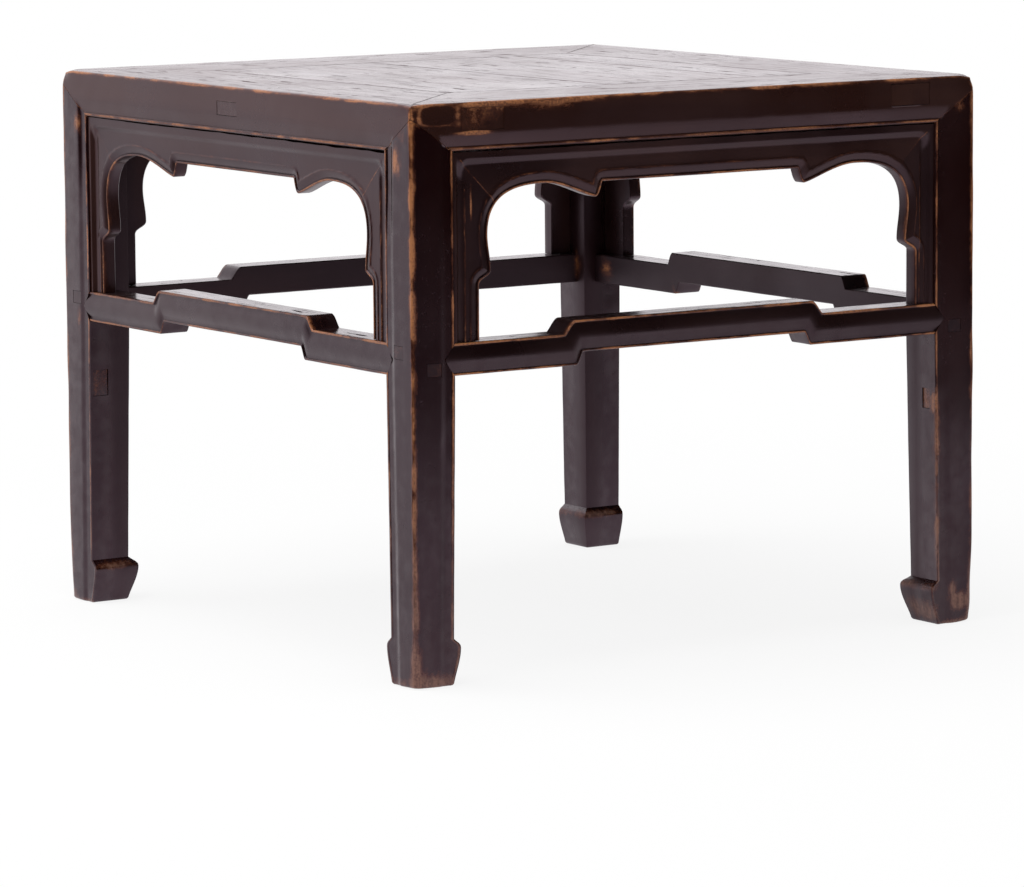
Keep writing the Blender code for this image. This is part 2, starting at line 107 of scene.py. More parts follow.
# The sunk band and bead along the inner edges of legs and rails
BEAD = 0.0038
BEAD_DEPTH = 0.0009
LEG_BAND = 0.0122
LEG_BAND_FALL = 0.6
RAIL_BAND = 0.0115
RAIL_BAND_CURVE = 1.2
BAND_DEPTH = 0.0024
LOW_BAND_DEPTH = 0.0014

# Through tenons that show on the outer faces
RAIL_TENON = ((0.0515, 0.094), (RAIL_FOOT + 0.017, HEIGHT - 0.005))
BATTEN_HALF = 0.017
BATTEN_LEVELS = (BOARD_FOOT - 0.0138, BOARD_FOOT - 0.0018)
STRETCHER_TENON = (0.015, 0.029)
RAIL_ROOT = 0.004
STRETCHER_ROOT = 0.006
TENON_UPPER = (STRETCHER_FOOT + 0.0155, STRETCHER_FOOT + 0.0265)
TENON_LOWER = (STRETCHER_FOOT + 0.0010, STRETCHER_FOOT + 0.0120)

# Aprons and strips, from the inner corner of leg and rail
APRON_BACK = 0.019
FIELD_DEPTH = 0.0056
BORDER = (0.0070, 0.0122)
BORDER_HEIGHT = 0.0026
BORDER_TURN = 0.017
STRIP_BORDER = (0.0030, 0.0068)
HOLLOW = (0.0045, 0.0138)
HOLLOW_DEPTH = 0.0013
HOLLOW_START = 0.016
RIM = (0.0024, 0.0098, 0.0106)
RIM_HEIGHT = 0.0008
RIM_FALL = 0.0018
RIM_BEAD_HEIGHT = 0.0012
RIM_ROOT = 0.0031
BACK_ROWS = (0.0125, 0.0180)
APRON_DROP = 0.0335
CUSP = (0.148, 0.0465)
LEDGE = (0.1555, APRON_DROP)
ARCH = (0.088, 0.032)
ARCH_SHOULDER = (0.63, 0.75)
WAIST = (0.031, 0.073)
BULGE = (0.034, 0.103)
STEP = (0.022, 0.115)

# Stretchers
STRETCHER_HEIGHT = 0.0275
STRETCHER_TOP = STRETCHER_FOOT + STRETCHER_HEIGHT
STRETCHER_FRONT = 0.0018
STRETCHER_BACK = 0.0305
STRETCHER_SWELL = 0.0030
STRETCHER_SINK = 0.0008
STRETCHER_BEAD = 0.0024
HUMP_START = LEG_SIZE + 0.1185
HUMP_RUN = 0.0115
HUMP_RISE = 0.0115
UNDER_SHIFT = 0.0125
UNDER_RUN = 0.0075
SHOULDER = 0.010
SHOULDER_DEPTH = 0.009

# How far hand work put strips, cusps and humps off their places, at a side's left and right end
EVEN_STRIPS = ((0.0, 0.0), (0.0, 0.0))
STRIP_EASE = {"front": ((0.0065, 0.0), (-0.0035, -0.0070)), "left": ((-0.0030, 0.0), (0.0060, 0.0)),
              "right": ((0.0, 0.0), (0.0105, 0.0))}
EVEN_HUMP = (0.0, 0.0, HUMP_RUN)
HUMPS = {"front": (-0.0060, 0.0065, HUMP_RUN), "left": (-0.0020, 0.0020, HUMP_RUN),
         "right": (-0.0110, 0.0040, 0.0068)}

# How far an apron has sunk below its rail, at a side's left and right end
EVEN_SAG = (0.0003, 0.0003)
APRON_SAGS = {"front": (0.0016, 0.0008), "left": (0.0005, 0.0019)}

# Places rubbed or knocked by use: centre, reach along each axis, how bare, and how much is gone
WORN_PLACES = (
    ((LEFT, FRONT, HEIGHT), (0.012, 0.012, 0.008), 0.9, 0.0018),
    ((RIGHT, FRONT, HEIGHT), (0.01, 0.01, 0.008), 0.8, 0.0036),
    ((LEFT, BACK, HEIGHT), (0.01, 0.01, 0.008), 0.8, 0.0036),
    ((LEFT, 0.02, HEIGHT - 0.0005), (0.004, 0.4, 0.0032), 0.75, 0.0003),
    ((-0.19, FRONT, HEIGHT - 0.001), (0.13, 0.004, 0.005), 1.1, 0.0004),
    ((-0.228, FRONT, HEIGHT - 0.001), (0.036, 0.004, 0.0056), 1.3, 0.0004),
    ((-0.168, FRONT, HEIGHT - 0.001), (0.034, 0.004, 0.0078), 1.3, 0.0004),
    ((-0.2525, FRONT, HEIGHT - 0.01), (0.004, 0.003, 0.011), 1.3, 0.0),
    ((-0.2905, FRONT, HEIGHT - 0.012), (0.003, 0.004, 0.009), 0.8, 0.0),
    ((-0.236, FRONT, RAIL_FOOT + 0.0148), (0.022, 0.003, 0.0022), 1.1, 0.0),
    ((0.2835, FRONT, RAIL_FOOT + 0.013), (0.009, 0.003, 0.006), 0.55, 0.0),
    ((LEFT, FRONT, 0.0), (0.016, 0.016, 0.016), 1.2, 0.0012),
    ((-0.275, FRONT, 0.002), (0.028, 0.004, 0.009), 1.2, 0.0003),
    ((LEFT, -0.28, 0.002), (0.004, 0.022, 0.007), 0.9, 0.0003),
    ((0.283, FRONT, 0.02), (0.013, 0.004, 0.009), 1.2, 0.0),
    ((0.277, FRONT, 0.031), (0.005, 0.004, 0.009), 1.1, 0.0),
    ((0.257, -0.288, 0.012), (0.007, 0.026, 0.012), 1.4, 0.0),
    ((0.256, -0.29, 0.033), (0.006, 0.024, 0.004), 1.1, 0.0),
    ((RIGHT, FRONT, 0.0), (0.012, 0.012, 0.012), 0.9, 0.002),
    ((0.2585, -0.2985, 0.12), (0.0045, 0.0035, 0.095), 1.1, 0.0),
    ((LEFT, BACK, 0.0), (0.012, 0.014, 0.014), 1.0, 0.0008),
    ((LEFT, -0.277, 0.447), (0.003, 0.012, 0.016), 0.82, 0.0),
    ((LEFT, -0.285, 0.466), (0.003, 0.009, 0.012), 0.6, 0.0),
    ((-0.2365, -0.294, 0.408), (0.0012, 0.006, 0.016), 0.95, 0.0),
    ((LEFT, 0.272, 0.448), (0.003, 0.007, 0.012), 0.7, 0.0),
    ((LEFT, 0.275, 0.268), (0.003, 0.004, 0.018), 0.75, 0.0),
    ((0.2575, -0.296, 0.203), (0.004, 0.006, 0.013), 1.1, 0.0),
    ((0.2575, -0.286, 0.205), (0.004, 0.005, 0.01), 0.55, 0.0),
    ((-0.29, 0.258, 0.206), (0.01, 0.004, 0.013), 0.6, 0.0),
    ((0.2695, 0.238, 0.28), (0.002, 0.014, 0.016), 0.7, 0.0),
    ((0.2566, 0.2695, 0.281), (0.004, 0.002, 0.018), 0.75, 0.0),
    ((0.2695, 0.119, STRETCHER_FOOT), (0.003, 0.006, 0.003), 0.9, 0.0),
)

# An island of lacquer kept near the front corner, with bare wood round it: centre and reach
KEPT_PATCH = ((-0.2722, FRONT, HEIGHT - 0.0099), (0.0158, 0.006, 0.0073))

# Old mortises in two legs' inner faces, since plugged: their place across the face and their levels
OLD_MORTISES = {
    "leg_front_right": ("b", (0.0092, 0.0200), (0.196, 0.2145)),
    "leg_back_left": ("a", (0.0040, 0.0200), (0.194, 0.2185)),
}
PLUG_DEPTH = 0.004
PLUG_SHY = 0.0008
PLUG_LEVEL = 0.205

# How far edges, ends and plugs are rubbed, where 1 is bare, and the grime in the top's seams
BEAD_WEAR = 0.85
MITRE_WEAR = 0.55
MITRE_REACH = 0.0012
LIP_WEAR = 0.70
PLUG_WEAR = 0.62
RAIL_TENON_WEAR = 0.09
STRETCHER_TENON_WEAR = 0.32
TREAD_WEAR = 0.25
LEFT_TREAD_WEAR = 0.30
SEAM_GRIME = 1.2
SEAM_REACH = 0.0013
FACE_SKIN = 0.003
TOP_SKIN = 0.001

# Each side with its neighbours at its left and right end, seen from outside, and its turn
SIDES = (
    ("front", "left", "right", 0),
    ("right", "front", "back", 90),
    ("back", "right", "left", 180),
    ("left", "back", "front", 270),
)

# Camera and studio
CAMERA_TURN = (-33.61, 7.72, -0.43)
CAMERA_DISTANCE = 4.862
CAMERA_AIM = (-0.0001, -0.0930)
CAMERA_LENS = 186.34
SENSOR = 36.0
FLOOR_RADIUS = 6.0
FLOOR_DROP = 0.0005
REFLECTED_WHITE = (1.0, 0.955, 0.985, 1.0)
WHITE = (1.0, 1.0, 1.0, 1.0)
LAMP_PLACE = (-0.9, 0.2, 2.6)
LAMP_AIM = (0.0, 0.0, 0.3)
LAMP_SIZE = 2.4
LAMP_POWER = 60.0

# Colours of the worn lacquer, and of the wood under it higher up and near the floor
STREAK = (0.004, 0.0014, 0.0012, 1.0)
THIN_LACQUER = (0.055, 0.016, 0.007, 1.0)
GRIME = (0.004, 0.002, 0.0015, 1.0)
PALE_WOOD = ((0.36, 0.140, 0.048, 1.0), (0.20, 0.100, 0.064, 1.0))
DEEP_WOOD = ((0.12, 0.042, 0.017, 1.0), (0.085, 0.038, 0.023, 1.0))
SHEEN = (1.0, 0.72, 0.88, 1.0)
SPECULAR = 0.58


def side_matrix(turn):
    """From a side's own axes (along it, inward, up) to the table's."""
    along, across = (WIDTH, DEPTH) if turn in (0, 180) else (DEPTH, WIDTH)
    return Matrix.Rotation(radians(turn), 4, "Z") @ Matrix.Translation((-along / 2, -across / 2, 0.0))


def ramp(low, high, value):
    """A smooth step from 0 at low to 1 at high."""
    t = np.clip((value - low) / (high - low), 0.0, 1.0)
    return t * t * (3.0 - 2.0 * t)


def wobble(points, length, seed):
    """Smooth unevenness between about -1 and 1, with bumps about one length across."""
    points = np.asarray(points)
    total = np.zeros(points.shape[0])
    for k in range(6):
        turn = 2.399 * k + 1.7 * seed
        tilt = 0.9 * sin(1.3 * k + 0.6 * seed)
        way = np.array((cos(turn) * cos(tilt), sin(turn) * cos(tilt), sin(tilt)))
        total += np.sin(points @ way * (2.0 * pi / length) * (0.6 + 0.16 * k) + 3.1 * seed + 1.9 * k)
    return total / 3.5


def curve(start, start_pull, end_pull, end, steps=26):
    """A curved stretch of an outline; the pulls are offsets from its two ends."""
    leave, arrive = ((x + dx, z + dz) for (x, z), (dx, dz) in ((start, start_pull), (end, end_pull)))
    return [tuple(p[:2]) for p in interpolate_bezier(start, leave, arrive, end, steps)]


def new_object(name, data):
    """An object put in the scene."""
    item = bpy.data.objects.new(name, data)
    bpy.context.scene.collection.objects.link(item)
    return item


def shape_object(points, faces):
    """A working object with outward faces."""
    mesh = bpy.data.meshes.new("shape")
    mesh.from_pydata([tuple(p) for p in points], [], faces)
    built = bmesh.new()
    built.from_mesh(mesh)
    bmesh.ops.recalc_face_normals(built, faces=built.faces)
    built.to_mesh(mesh)
    built.free()
    return new_object("shape", mesh)


def loft(rings, flat_ends=False):
    """A closed body through rings of points, with a face or a fan over each end."""
    count, width = len(rings), len(rings[0])
    points = [p for ring in rings for p in ring]
    faces = []
    for i in range(count - 1):
        for j in range(width):
            k = (j + 1) % width
            faces.append((i * width + j, i * width + k, (i + 1) * width + k, (i + 1) * width + j))
    for start in (0, (count - 1) * width):
        if flat_ends:
            faces.append(tuple(range(start, start + width)))
            continue
        middle = len(points)
        points.append(tuple(np.mean(points[start:start + width], axis=0)))
        faces += [(start + j, start + (j + 1) % width, middle) for j in range(width)]
    return shape_object(points, faces)


def block(low, high):
    """A plain cutter or tenon between two corners."""
    (x0, y0, z0), (x1, y1, z1) = low, high
    points = [(x, y, z) for x in (x0, x1) for y in (y0, y1) for z in (z0, z1)]
    faces = [(0, 1, 3, 2), (4, 6, 7, 5), (0, 4, 5, 1), (2, 3, 7, 6), (0, 2, 6, 4), (1, 5, 7, 3)]
    return shape_object(points, faces)


def prism(outline, low, high, swap=False):
    """An outline in (along, up) given depth from low to high; swapped, on the other face."""
    rings = [[(s, b, z) for s, z in outline] for b in (low, high)]
    if swap:
        rings = [[(b, s, z) for s, b, z in ring] for ring in rings]
    return loft(rings, flat_ends=True)


def combine(item, operation, *others):
    """Cut or join working objects, one after the other."""
    for other in others:
        step = item.modifiers.new("step", "BOOLEAN")
        step.operation = operation
        step.solver = "MANIFOLD"
        step.object = other
        graph = bpy.context.evaluated_depsgraph_get()
        mesh = bpy.data.meshes.new_from_object(item.evaluated_get(graph))
        item.modifiers.clear()
        item.data = mesh
        bpy.data.objects.remove(other)


def mirrored(points, length):
    """Points of the left end carried to the right end, in left to right order."""
    return [(length - p[0], *p[1:]) for p in reversed(points)]


def ends(length, low, high):
    """The same block at the left and the right end of a side."""
    return (block(low, high),
            block((length - high[0], low[1], low[2]), (length - low[0], high[1], high[2])))


def eased(span):
    """The two sides of a tenon as its mortise has them."""
    return span[0] - MORTISE_GAP, span[1] + MORTISE_GAP


def at_depth(points, depth):
    """Points of a side, given as places along and up, set at one depth or at a depth each."""
    return np.column_stack((points[:, 0], np.broadcast_to(depth, (len(points),)), points[:, 1]))


def round_bead(edge, band_depth, count=7):
    """A half-round bead ending at an edge, out of a sunk band: offsets along the face and depths."""
    radius = BEAD / 2
    points = []
    for turn in np.linspace(0.0, pi, count):
        depth = BEAD_DEPTH + radius - radius * sin(turn)
        points.append((edge - radius - radius * cos(turn), min(depth, band_depth)))
    return points


def leg_width(z):
    """The leg's width at a height, with the hoof's lip at its foot."""
    lip = ANKLE_SIZE + HOOF_LIP
    swell = HOOF_LIP_HEIGHT / 3
    hollow = HOOF_HEIGHT - HOOF_LIP_HEIGHT
    edge = curve((FOOT_SIZE, 0.0), (HOOF_LIP / 3, swell), (0.0, -swell), (lip, HOOF_LIP_HEIGHT))
    edge += curve((lip, HOOF_LIP_HEIGHT), (0.0, hollow / 2), (HOOF_LIP / 3, -hollow / 3),
                  (ANKLE_SIZE, HOOF_HEIGHT))[1:]
    edge += [(LEG_SIZE, STRETCHER_FOOT), (LEG_SIZE, HEIGHT)]
    widths, heights = zip(*edge)
    return np.interp(z, heights, widths)


def leg_corner(z):
    """Radius of the leg's outer corner, rounder at the foot and where it meets the rails' corner."""
    low = FOOT_CORNER * (1.0 - ramp(0.0, FOOT_CORNER_TOP, z))
    return LEG_CORNER + low + (RAIL_CORNER - LEG_CORNER) * ramp(*HEAD_TURN, z)


def leg_sink(gap, depth):
    """How far a leg's band is sunk at a distance from its inner edge: a short fall, then level."""
    return depth * ramp(0.0, LEG_BAND_FALL, (BEAD + LEG_BAND - gap) / LEG_BAND)


def rail_sink(gap):
    """How far a rail's band is sunk at a distance from its lower edge: an even slope."""
    return BAND_DEPTH * np.clip((BEAD + RAIL_BAND - gap) / RAIL_BAND, 0.0, 1.0) ** RAIL_BAND_CURVE


def leg_section(width, straight, corner, band_depth):
    """The leg cut across: round outer corner, flat faces, beads, and bands straight past the lip."""
    half = []
    for turn in np.linspace(pi / 4, pi / 2, 6):
        half.append((corner - corner * cos(turn), corner - corner * sin(turn)))
    band_start = straight - BEAD - LEG_BAND
    half += [(a, 0.0) for a in np.linspace(corner, band_start, 12)[1:]]
    half += [(a, leg_sink(straight - a, band_depth))
             for a in np.linspace(band_start, width - BEAD - 0.0003, 12)[1:]]
    half += round_bead(width, band_depth)
    half += [(width, b) for b in (0.005, 0.012, 0.019, 0.030, width - EDGE_ROUND)]
    half.append((width - 0.3 * EDGE_ROUND, width - 0.3 * EDGE_ROUND))
    return half + [(b, a) for a, b in reversed(half[1:-1])]


def plug_mortise(leg, face, across, levels):
    """Cut an old mortise into a leg's inner face and fill it with a plug shy of the face."""
    width = leg_width(levels[0])
    slack = PLUG_SHY / 2
    for operation, depths, inset in (("DIFFERENCE", (width - PLUG_DEPTH, width + CUT_SLACK), 0.0),
                                     ("UNION", (width - 2 * PLUG_DEPTH, width - PLUG_SHY), slack)):
        low = (across[0] + inset, depths[0], levels[0] + inset)
        high = (across[1] - inset, depths[1], levels[1] - inset)
        if face == "a":
            low, high = (low[1], low[0], low[2]), (high[1], high[0], high[2])
        combine(leg, operation, block(low, high))


def leg_head_point(a, b, z, share):
    """A point of the leg's last ring carried up to the mitre, where the rail's band meets the leg's."""
    level = z + (MITRE_TOP - MITRE_SLOPE * max(a, b) - GAP - z) * share
    if level > RAIL_FOOT and LEG_SIZE - LEG_BAND - BEAD < max(a, b) < LEG_SIZE - BEAD:
        sink = rail_sink(level - RAIL_FOOT)
        if b < a:
            b = min(b, sink)
        else:
            a = min(a, sink)
    return a, b, level


def build_leg(seed, upper_along):
    """A corner leg in its own frame: a along one side, b along the other."""
    levels = [0.0, 0.0006, 0.0016, 0.0035]
    levels += list(np.linspace(0.006, 0.044, 20))
    levels += list(np.linspace(0.050, RAIL_FOOT - 0.022, 72))
    rings = []
    for z in levels:
        free = 0.30 * (1.0 - ramp(*HEAD_TURN, z))
        corner = leg_corner(z) * (1.0 + free * wobble([(0.0, 0.0, z)], 0.060, seed)[0])
        inset = EDGE_ROUND * max(0.0, 1.0 - z / 0.0016) ** 2
        deeper = ramp(*BAND_TURN, z)
        band_depth = LOW_BAND_DEPTH + (BAND_DEPTH - LOW_BAND_DEPTH) * deeper
        straight = np.interp(z, (0.0, STRETCHER_FOOT), (FOOT_SIZE, LEG_SIZE))
        section = leg_section(leg_width(z), straight, corner, band_depth)
        middle = FOOT_SIZE / 2
        squeeze = 1.0 - inset / middle
        rings.append([(a, b, z) for a, b in middle + (np.array(section) - middle) * squeeze])
    base = rings[-1]
    for t in np.linspace(0.0, 1.0, 20)[1:]:
        rings.append([leg_head_point(a, b, z, t) for a, b, z in base])
    leg = loft(rings)
    near, far = eased(STRETCHER_TENON)
    through = LEG_SIZE + CUT_SLACK
    low, high = eased(TENON_UPPER if upper_along else TENON_LOWER)
    combine(leg, "DIFFERENCE", block((-CUT_SLACK, near, low), (through, far, high)))
    low, high = eased(TENON_LOWER if upper_along else TENON_UPPER)
    combine(leg, "DIFFERENCE", block((near, -CUT_SLACK, low), (far, through, high)))
    for swap in (False, True):
        combine(leg, "DIFFERENCE", prism(shoulder_outline(GAP), -CUT_SLACK, SHOULDER_DEPTH + GAP, swap))
    return leg


def shoulder_outline(slack):
    """The pointed shoulder of a stretcher's left end, let into the leg."""
    middle = STRETCHER_FOOT + STRETCHER_HEIGHT / 2
    half = STRETCHER_HEIGHT / 2 + slack
    root = LEG_SIZE + CUT_SLACK
    return [(LEG_SIZE - SHOULDER - slack, middle), (LEG_SIZE, middle - half), (root, middle - half),
            (root, middle + half), (LEG_SIZE, middle + half)]


def rail_section():
    """A top rail cut across, as depths and heights, from its top outer arris down the face."""
    edge = RAIL_ARRIS
    points = []
    for turn in np.linspace(0.0, pi / 2, 6):
        points.append((edge - edge * sin(turn), HEIGHT - edge + edge * cos(turn)))
    band_start = RAIL_FOOT + BEAD + RAIL_BAND
    points += [(0.0, z) for z in np.linspace(HEIGHT - edge, band_start, 18)[1:]]
    points += [(rail_sink(z - RAIL_FOOT), z)
               for z in np.linspace(band_start, RAIL_FOOT + BEAD + 0.0003, 9)[1:]]
    for offset, depth in round_bead(0.0, BAND_DEPTH):
        points.append((depth, RAIL_FOOT - offset))
    under = (0.006, 0.012, 0.022, LEG_SIZE, 0.060, 0.080, RAIL_WIDTH - EDGE_ROUND)
    points += [(b, RAIL_FOOT) for b in under]
    points += [(RAIL_WIDTH, RAIL_FOOT + EDGE_ROUND), (RAIL_WIDTH, HEIGHT - SEAM_DROP)]
    points += [(RAIL_WIDTH - SEAM_EDGE, HEIGHT)]
    points += [(b, HEIGHT) for b in np.linspace(RAIL_WIDTH - 0.004, edge, 20)[:-1]]
    return points


def build_rail(length, through_rail):
    """A top rail with mitred ends that saddle the leg heads."""
    corner = RAIL_CORNER
    section = rail_section()
    band = (RAIL_FOOT + BEAD, RAIL_FOOT + BEAD + RAIL_BAND)
    shares = (1.0 - np.cos(np.linspace(0.0, pi, 201))) / 2
    shares = 0.5 * shares + 0.5 * np.linspace(0.0, 1.0, 201)
    seam_share = SEAM_EDGE / (length - RAIL_WIDTH)
    rings = []
    for t in (0.0, seam_share, *shares[1:-1], 1.0 - seam_share, 1.0):
        ring = []
        for b, z in section:
            start = max(b + MITRE_GAP, (MITRE_TOP - z) / MITRE_SLOPE + GAP if b < LEG_SIZE + 0.001 else 0.0)
            start = max(start, corner * (1.0 - sqrt(0.5)) + MITRE_GAP)
            s = start + (length - 2.0 * start) * t
            near = min(s, length - s)
            depth = b
            if band[0] < z < band[1] and b <= BAND_DEPTH:
                depth = min(b, leg_sink(LEG_SIZE - near, BAND_DEPTH))
            if t in (0.0, 1.0) and z == HEIGHT:
                z -= SEAM_DROP
            if near < corner:
                depth = max(depth, corner - sqrt(corner ** 2 - (corner - near) ** 2))
            ring.append((s, depth, z))
        rings.append(ring)
    rail = loft(rings)
    (near, far), (low, high) = RAIL_TENON
    if not through_rail:
        combine(rail, "UNION", *ends(length, (GAP, near, low), (far + RAIL_ROOT, far, high)))
        near, far = eased((length / 2 - BATTEN_HALF, length / 2 + BATTEN_HALF))
        low, high = eased(BATTEN_LEVELS)
        combine(rail, "DIFFERENCE", block((near, -CUT_SLACK, low), (far, RAIL_WIDTH + CUT_SLACK, high)))
        return rail
    (near, far), (low, high) = eased((near, far)), eased((low, high))
    combine(rail, "DIFFERENCE", *ends(length, (near, -CUT_SLACK, low), (far, RAIL_WIDTH, high)))
    return rail


def build_board(left, right):
    """One board of the panel, running from front to back."""
    half = DEPTH / 2 - RAIL_WIDTH - GAP
    xs = [left + SEAM_EDGE, *np.linspace(left + 0.004, right - 0.004, 24), right - SEAM_EDGE]
    rows = [-half, -half + SEAM_EDGE, *np.linspace(-half + 0.004, half - 0.004, 68), half - SEAM_EDGE, half]
    rings = []
    for y in rows:
        edge = HEIGHT - SEAM_DROP
        level = edge if abs(y) == half else HEIGHT
        ring = [(x, y, level) for x in xs]
        ring += [(right, y, edge), (right, y, BOARD_FOOT), (left, y, BOARD_FOOT), (left, y, edge)]
        rings.append(ring)
    return loft(rings)


def build_batten():
    """The bar across the panel's underside, tenoned through the side rails."""
    low, high = BATTEN_LEVELS[0] - 0.008, BOARD_FOOT - GAP
    half = BATTEN_HALF
    edge = EDGE_ROUND
    section = [(-half, high), (-half, low + 3 * edge), (-half + edge, low + edge), (-half + 3 * edge, low)]
    section += [(-y, z) for y, z in reversed(section)]
    reach = WIDTH / 2 - RAIL_WIDTH - GAP
    batten = loft([[(x, y, z) for y, z in section] for x in np.linspace(-reach, reach, 40)])
    tip = WIDTH / 2 - GAP
    combine(batten, "UNION", block((-tip, -half, BATTEN_LEVELS[0]), (tip, half, BATTEN_LEVELS[1])))
    return batten


def cusped_edge(ease):
    """The apron's inner edge from the middle of a side to the foot of the left strip."""
    arch, waist, bulge, step = ((u + ease[0], v) for u, v in (ARCH, WAIST, BULGE, STEP))
    ledge, cusp = ((u + ease[1], v) for u, v in (LEDGE, CUSP))
    arch_pull = (ledge[0] - arch[0]) / 3
    shoulder = ((arch[0] - waist[0]) * ARCH_SHOULDER[0], (waist[1] - arch[1]) * ARCH_SHOULDER[1])
    bulge_pull = (bulge[1] - waist[1]) / 3
    step_pull = (step[1] - bulge[1]) / 2
    width, depth = ledge[0] - cusp[0], cusp[1] - ledge[1]
    edge = curve(ledge, (-width / 5, depth / 2), (width / 2, depth / 20), cusp, 16)
    edge += curve(cusp, (-2 * width, -depth / 4), (arch_pull, 0.0), arch, 40)[1:]
    edge += curve(arch, (-shoulder[0], 0.0), (0.0, -shoulder[1]), waist, 46)[1:]
    edge += curve(waist, (0.0, bulge_pull), (0.0, -bulge_pull), bulge, 20)[1:]
    edge += curve(bulge, (0.0, step_pull), (0.0, -step_pull), step, 18)[1:]
    foot = RAIL_FOOT - STRETCHER_TOP - GAP
    edge += [(step[0], v) for v in np.linspace(step[1], foot, 16)[1:]]
    return edge


def strip_edge(ease):
    """The left end of a side's opening from the foot of its strip up, and its mitre's place."""
    edge = cusped_edge(ease)[::-1]
    points = [(LEG_SIZE + u, RAIL_FOOT - v) for u, v in edge]
    inner = [u - v for u, v in edge]
    mitre = next(i for i, gap in enumerate(inner) if gap > 0.0)
    (s0, z0), (s1, z1) = points[mitre - 1], points[mitre]
    share = -inner[mitre - 1] / (inner[mitre] - inner[mitre - 1])
    points.insert(mitre, (s0 + (s1 - s0) * share, z0 + (z1 - z0) * share))
    return points, mitre


def opening_path(length, eases):
    """The edge of a side's opening from the left strip to the right, and its mitres' places."""
    left, left_mitre = strip_edge(eases[0])
    right, right_mitre = strip_edge(eases[1])
    middle = [(s, RAIL_FOOT - APRON_DROP) for s in np.linspace(left[-1][0], length - right[-1][0], 46)[1:-1]]
    path = left + middle + mirrored(right, length)
    return np.array(path), left_mitre, len(path) - 1 - right_mitre


def path_normals(path):
    """Unit normals of the opening's edge, pointing into the wood."""
    tangent = np.gradient(path, axis=0)
    tangent /= np.linalg.norm(tangent, axis=1)[:, None]
    return np.stack((-tangent[:, 1], tangent[:, 0]), axis=1)


def distance_to(path, points):
    """Shortest distance from each point to a path of straight bits."""
    starts, runs = path[:-1], np.diff(path, axis=0)
    lengths = (runs ** 2).sum(axis=1)
    best = np.full(len(points), np.inf)
    for start, run, size in zip(starts, runs, lengths):
        t = np.clip(((points - start) @ run) / size, 0.0, 1.0)
        gap = points - start - t[:, None] * run
        best = np.minimum(best, (gap ** 2).sum(axis=1))
    return np.sqrt(best)


def border_height(points, length):
    """Height over the field of the border beside rail and legs, with a hollow on the strips."""
    along = np.minimum(points[:, 0], length - points[:, 0]) - LEG_SIZE
    down = RAIL_FOOT - points[:, 1]
    corner = np.hypot(np.clip(BORDER_TURN - along, 0.0, None), np.clip(BORDER_TURN - down, 0.0, None))
    raised = BORDER_HEIGHT * (1.0 - ramp(BORDER[0], BORDER[1], BORDER_TURN - corner))
    inside = np.clip((HOLLOW[1] - along) / (HOLLOW[1] - HOLLOW[0]), 0.0, 1.0)
    upright = BORDER_HEIGHT * (1.0 - ramp(STRIP_BORDER[0], STRIP_BORDER[1], along))
    upright -= HOLLOW_DEPTH * np.sin(pi * inside ** 0.6)
    turned = ramp(0.0, HOLLOW_START, down - along)
    return raised * (1.0 - turned) + upright * turned


def carved_depth(edge_gap, border):
    """Depth of the carved face from the table's outer face."""
    slope = np.clip((edge_gap - RIM[0]) / (RIM[1] - RIM[0]), 0.0, 1.0)
    rim = -RIM_FALL + (RIM_FALL + RIM_HEIGHT) * np.sin(slope * pi / 2)
    rim = np.where(edge_gap > RIM[1], RIM_HEIGHT * (1.0 - ramp(RIM[1], RIM[2], edge_gap)), rim)
    round_off = np.clip(1.0 - ((edge_gap - RIM[0] / 2) / (RIM[0] / 2)) ** 2, 0.0, 1.0)
    bead = -RIM_FALL + RIM_BEAD_HEIGHT * np.sqrt(round_off)
    return FIELD_DEPTH - border - np.where(edge_gap < RIM[0], bead, rim)


def build_carving(path, first, last, frame_points, back_points, length):
    """An apron or strip between its stretch of the opening's edge and the frame."""
    edge = path[first:last + 1]
    normals = path_normals(path)[first:last + 1]
    bead_rows = np.linspace(0.0, RIM[0], 7)
    inner_rows = [edge + normals * d for d in bead_rows]
    inner_rows.append(edge + normals * RIM_ROOT)
    rows = list(inner_rows)
    for share in np.linspace(0.0, 1.0, 33)[1:]:
        rows.append(inner_rows[-1] + (frame_points - inner_rows[-1]) * share)
    flat = np.concatenate(rows)
    depth = carved_depth(distance_to(path, flat), border_height(flat, length)).reshape(len(rows), -1)
    front = [at_depth(row, d) for row, d in zip(rows, depth)]
    back_edge = [at_depth(edge, b) for b in BACK_ROWS]
    sunk = edge + normals * EDGE_ROUND
    back = [at_depth(row, APRON_BACK) for row in (sunk, (sunk + back_points) / 2, back_points)]
    loop = front + back[::-1] + back_edge[::-1]
    return loft(np.stack(loop, axis=1), flat_ends=True)


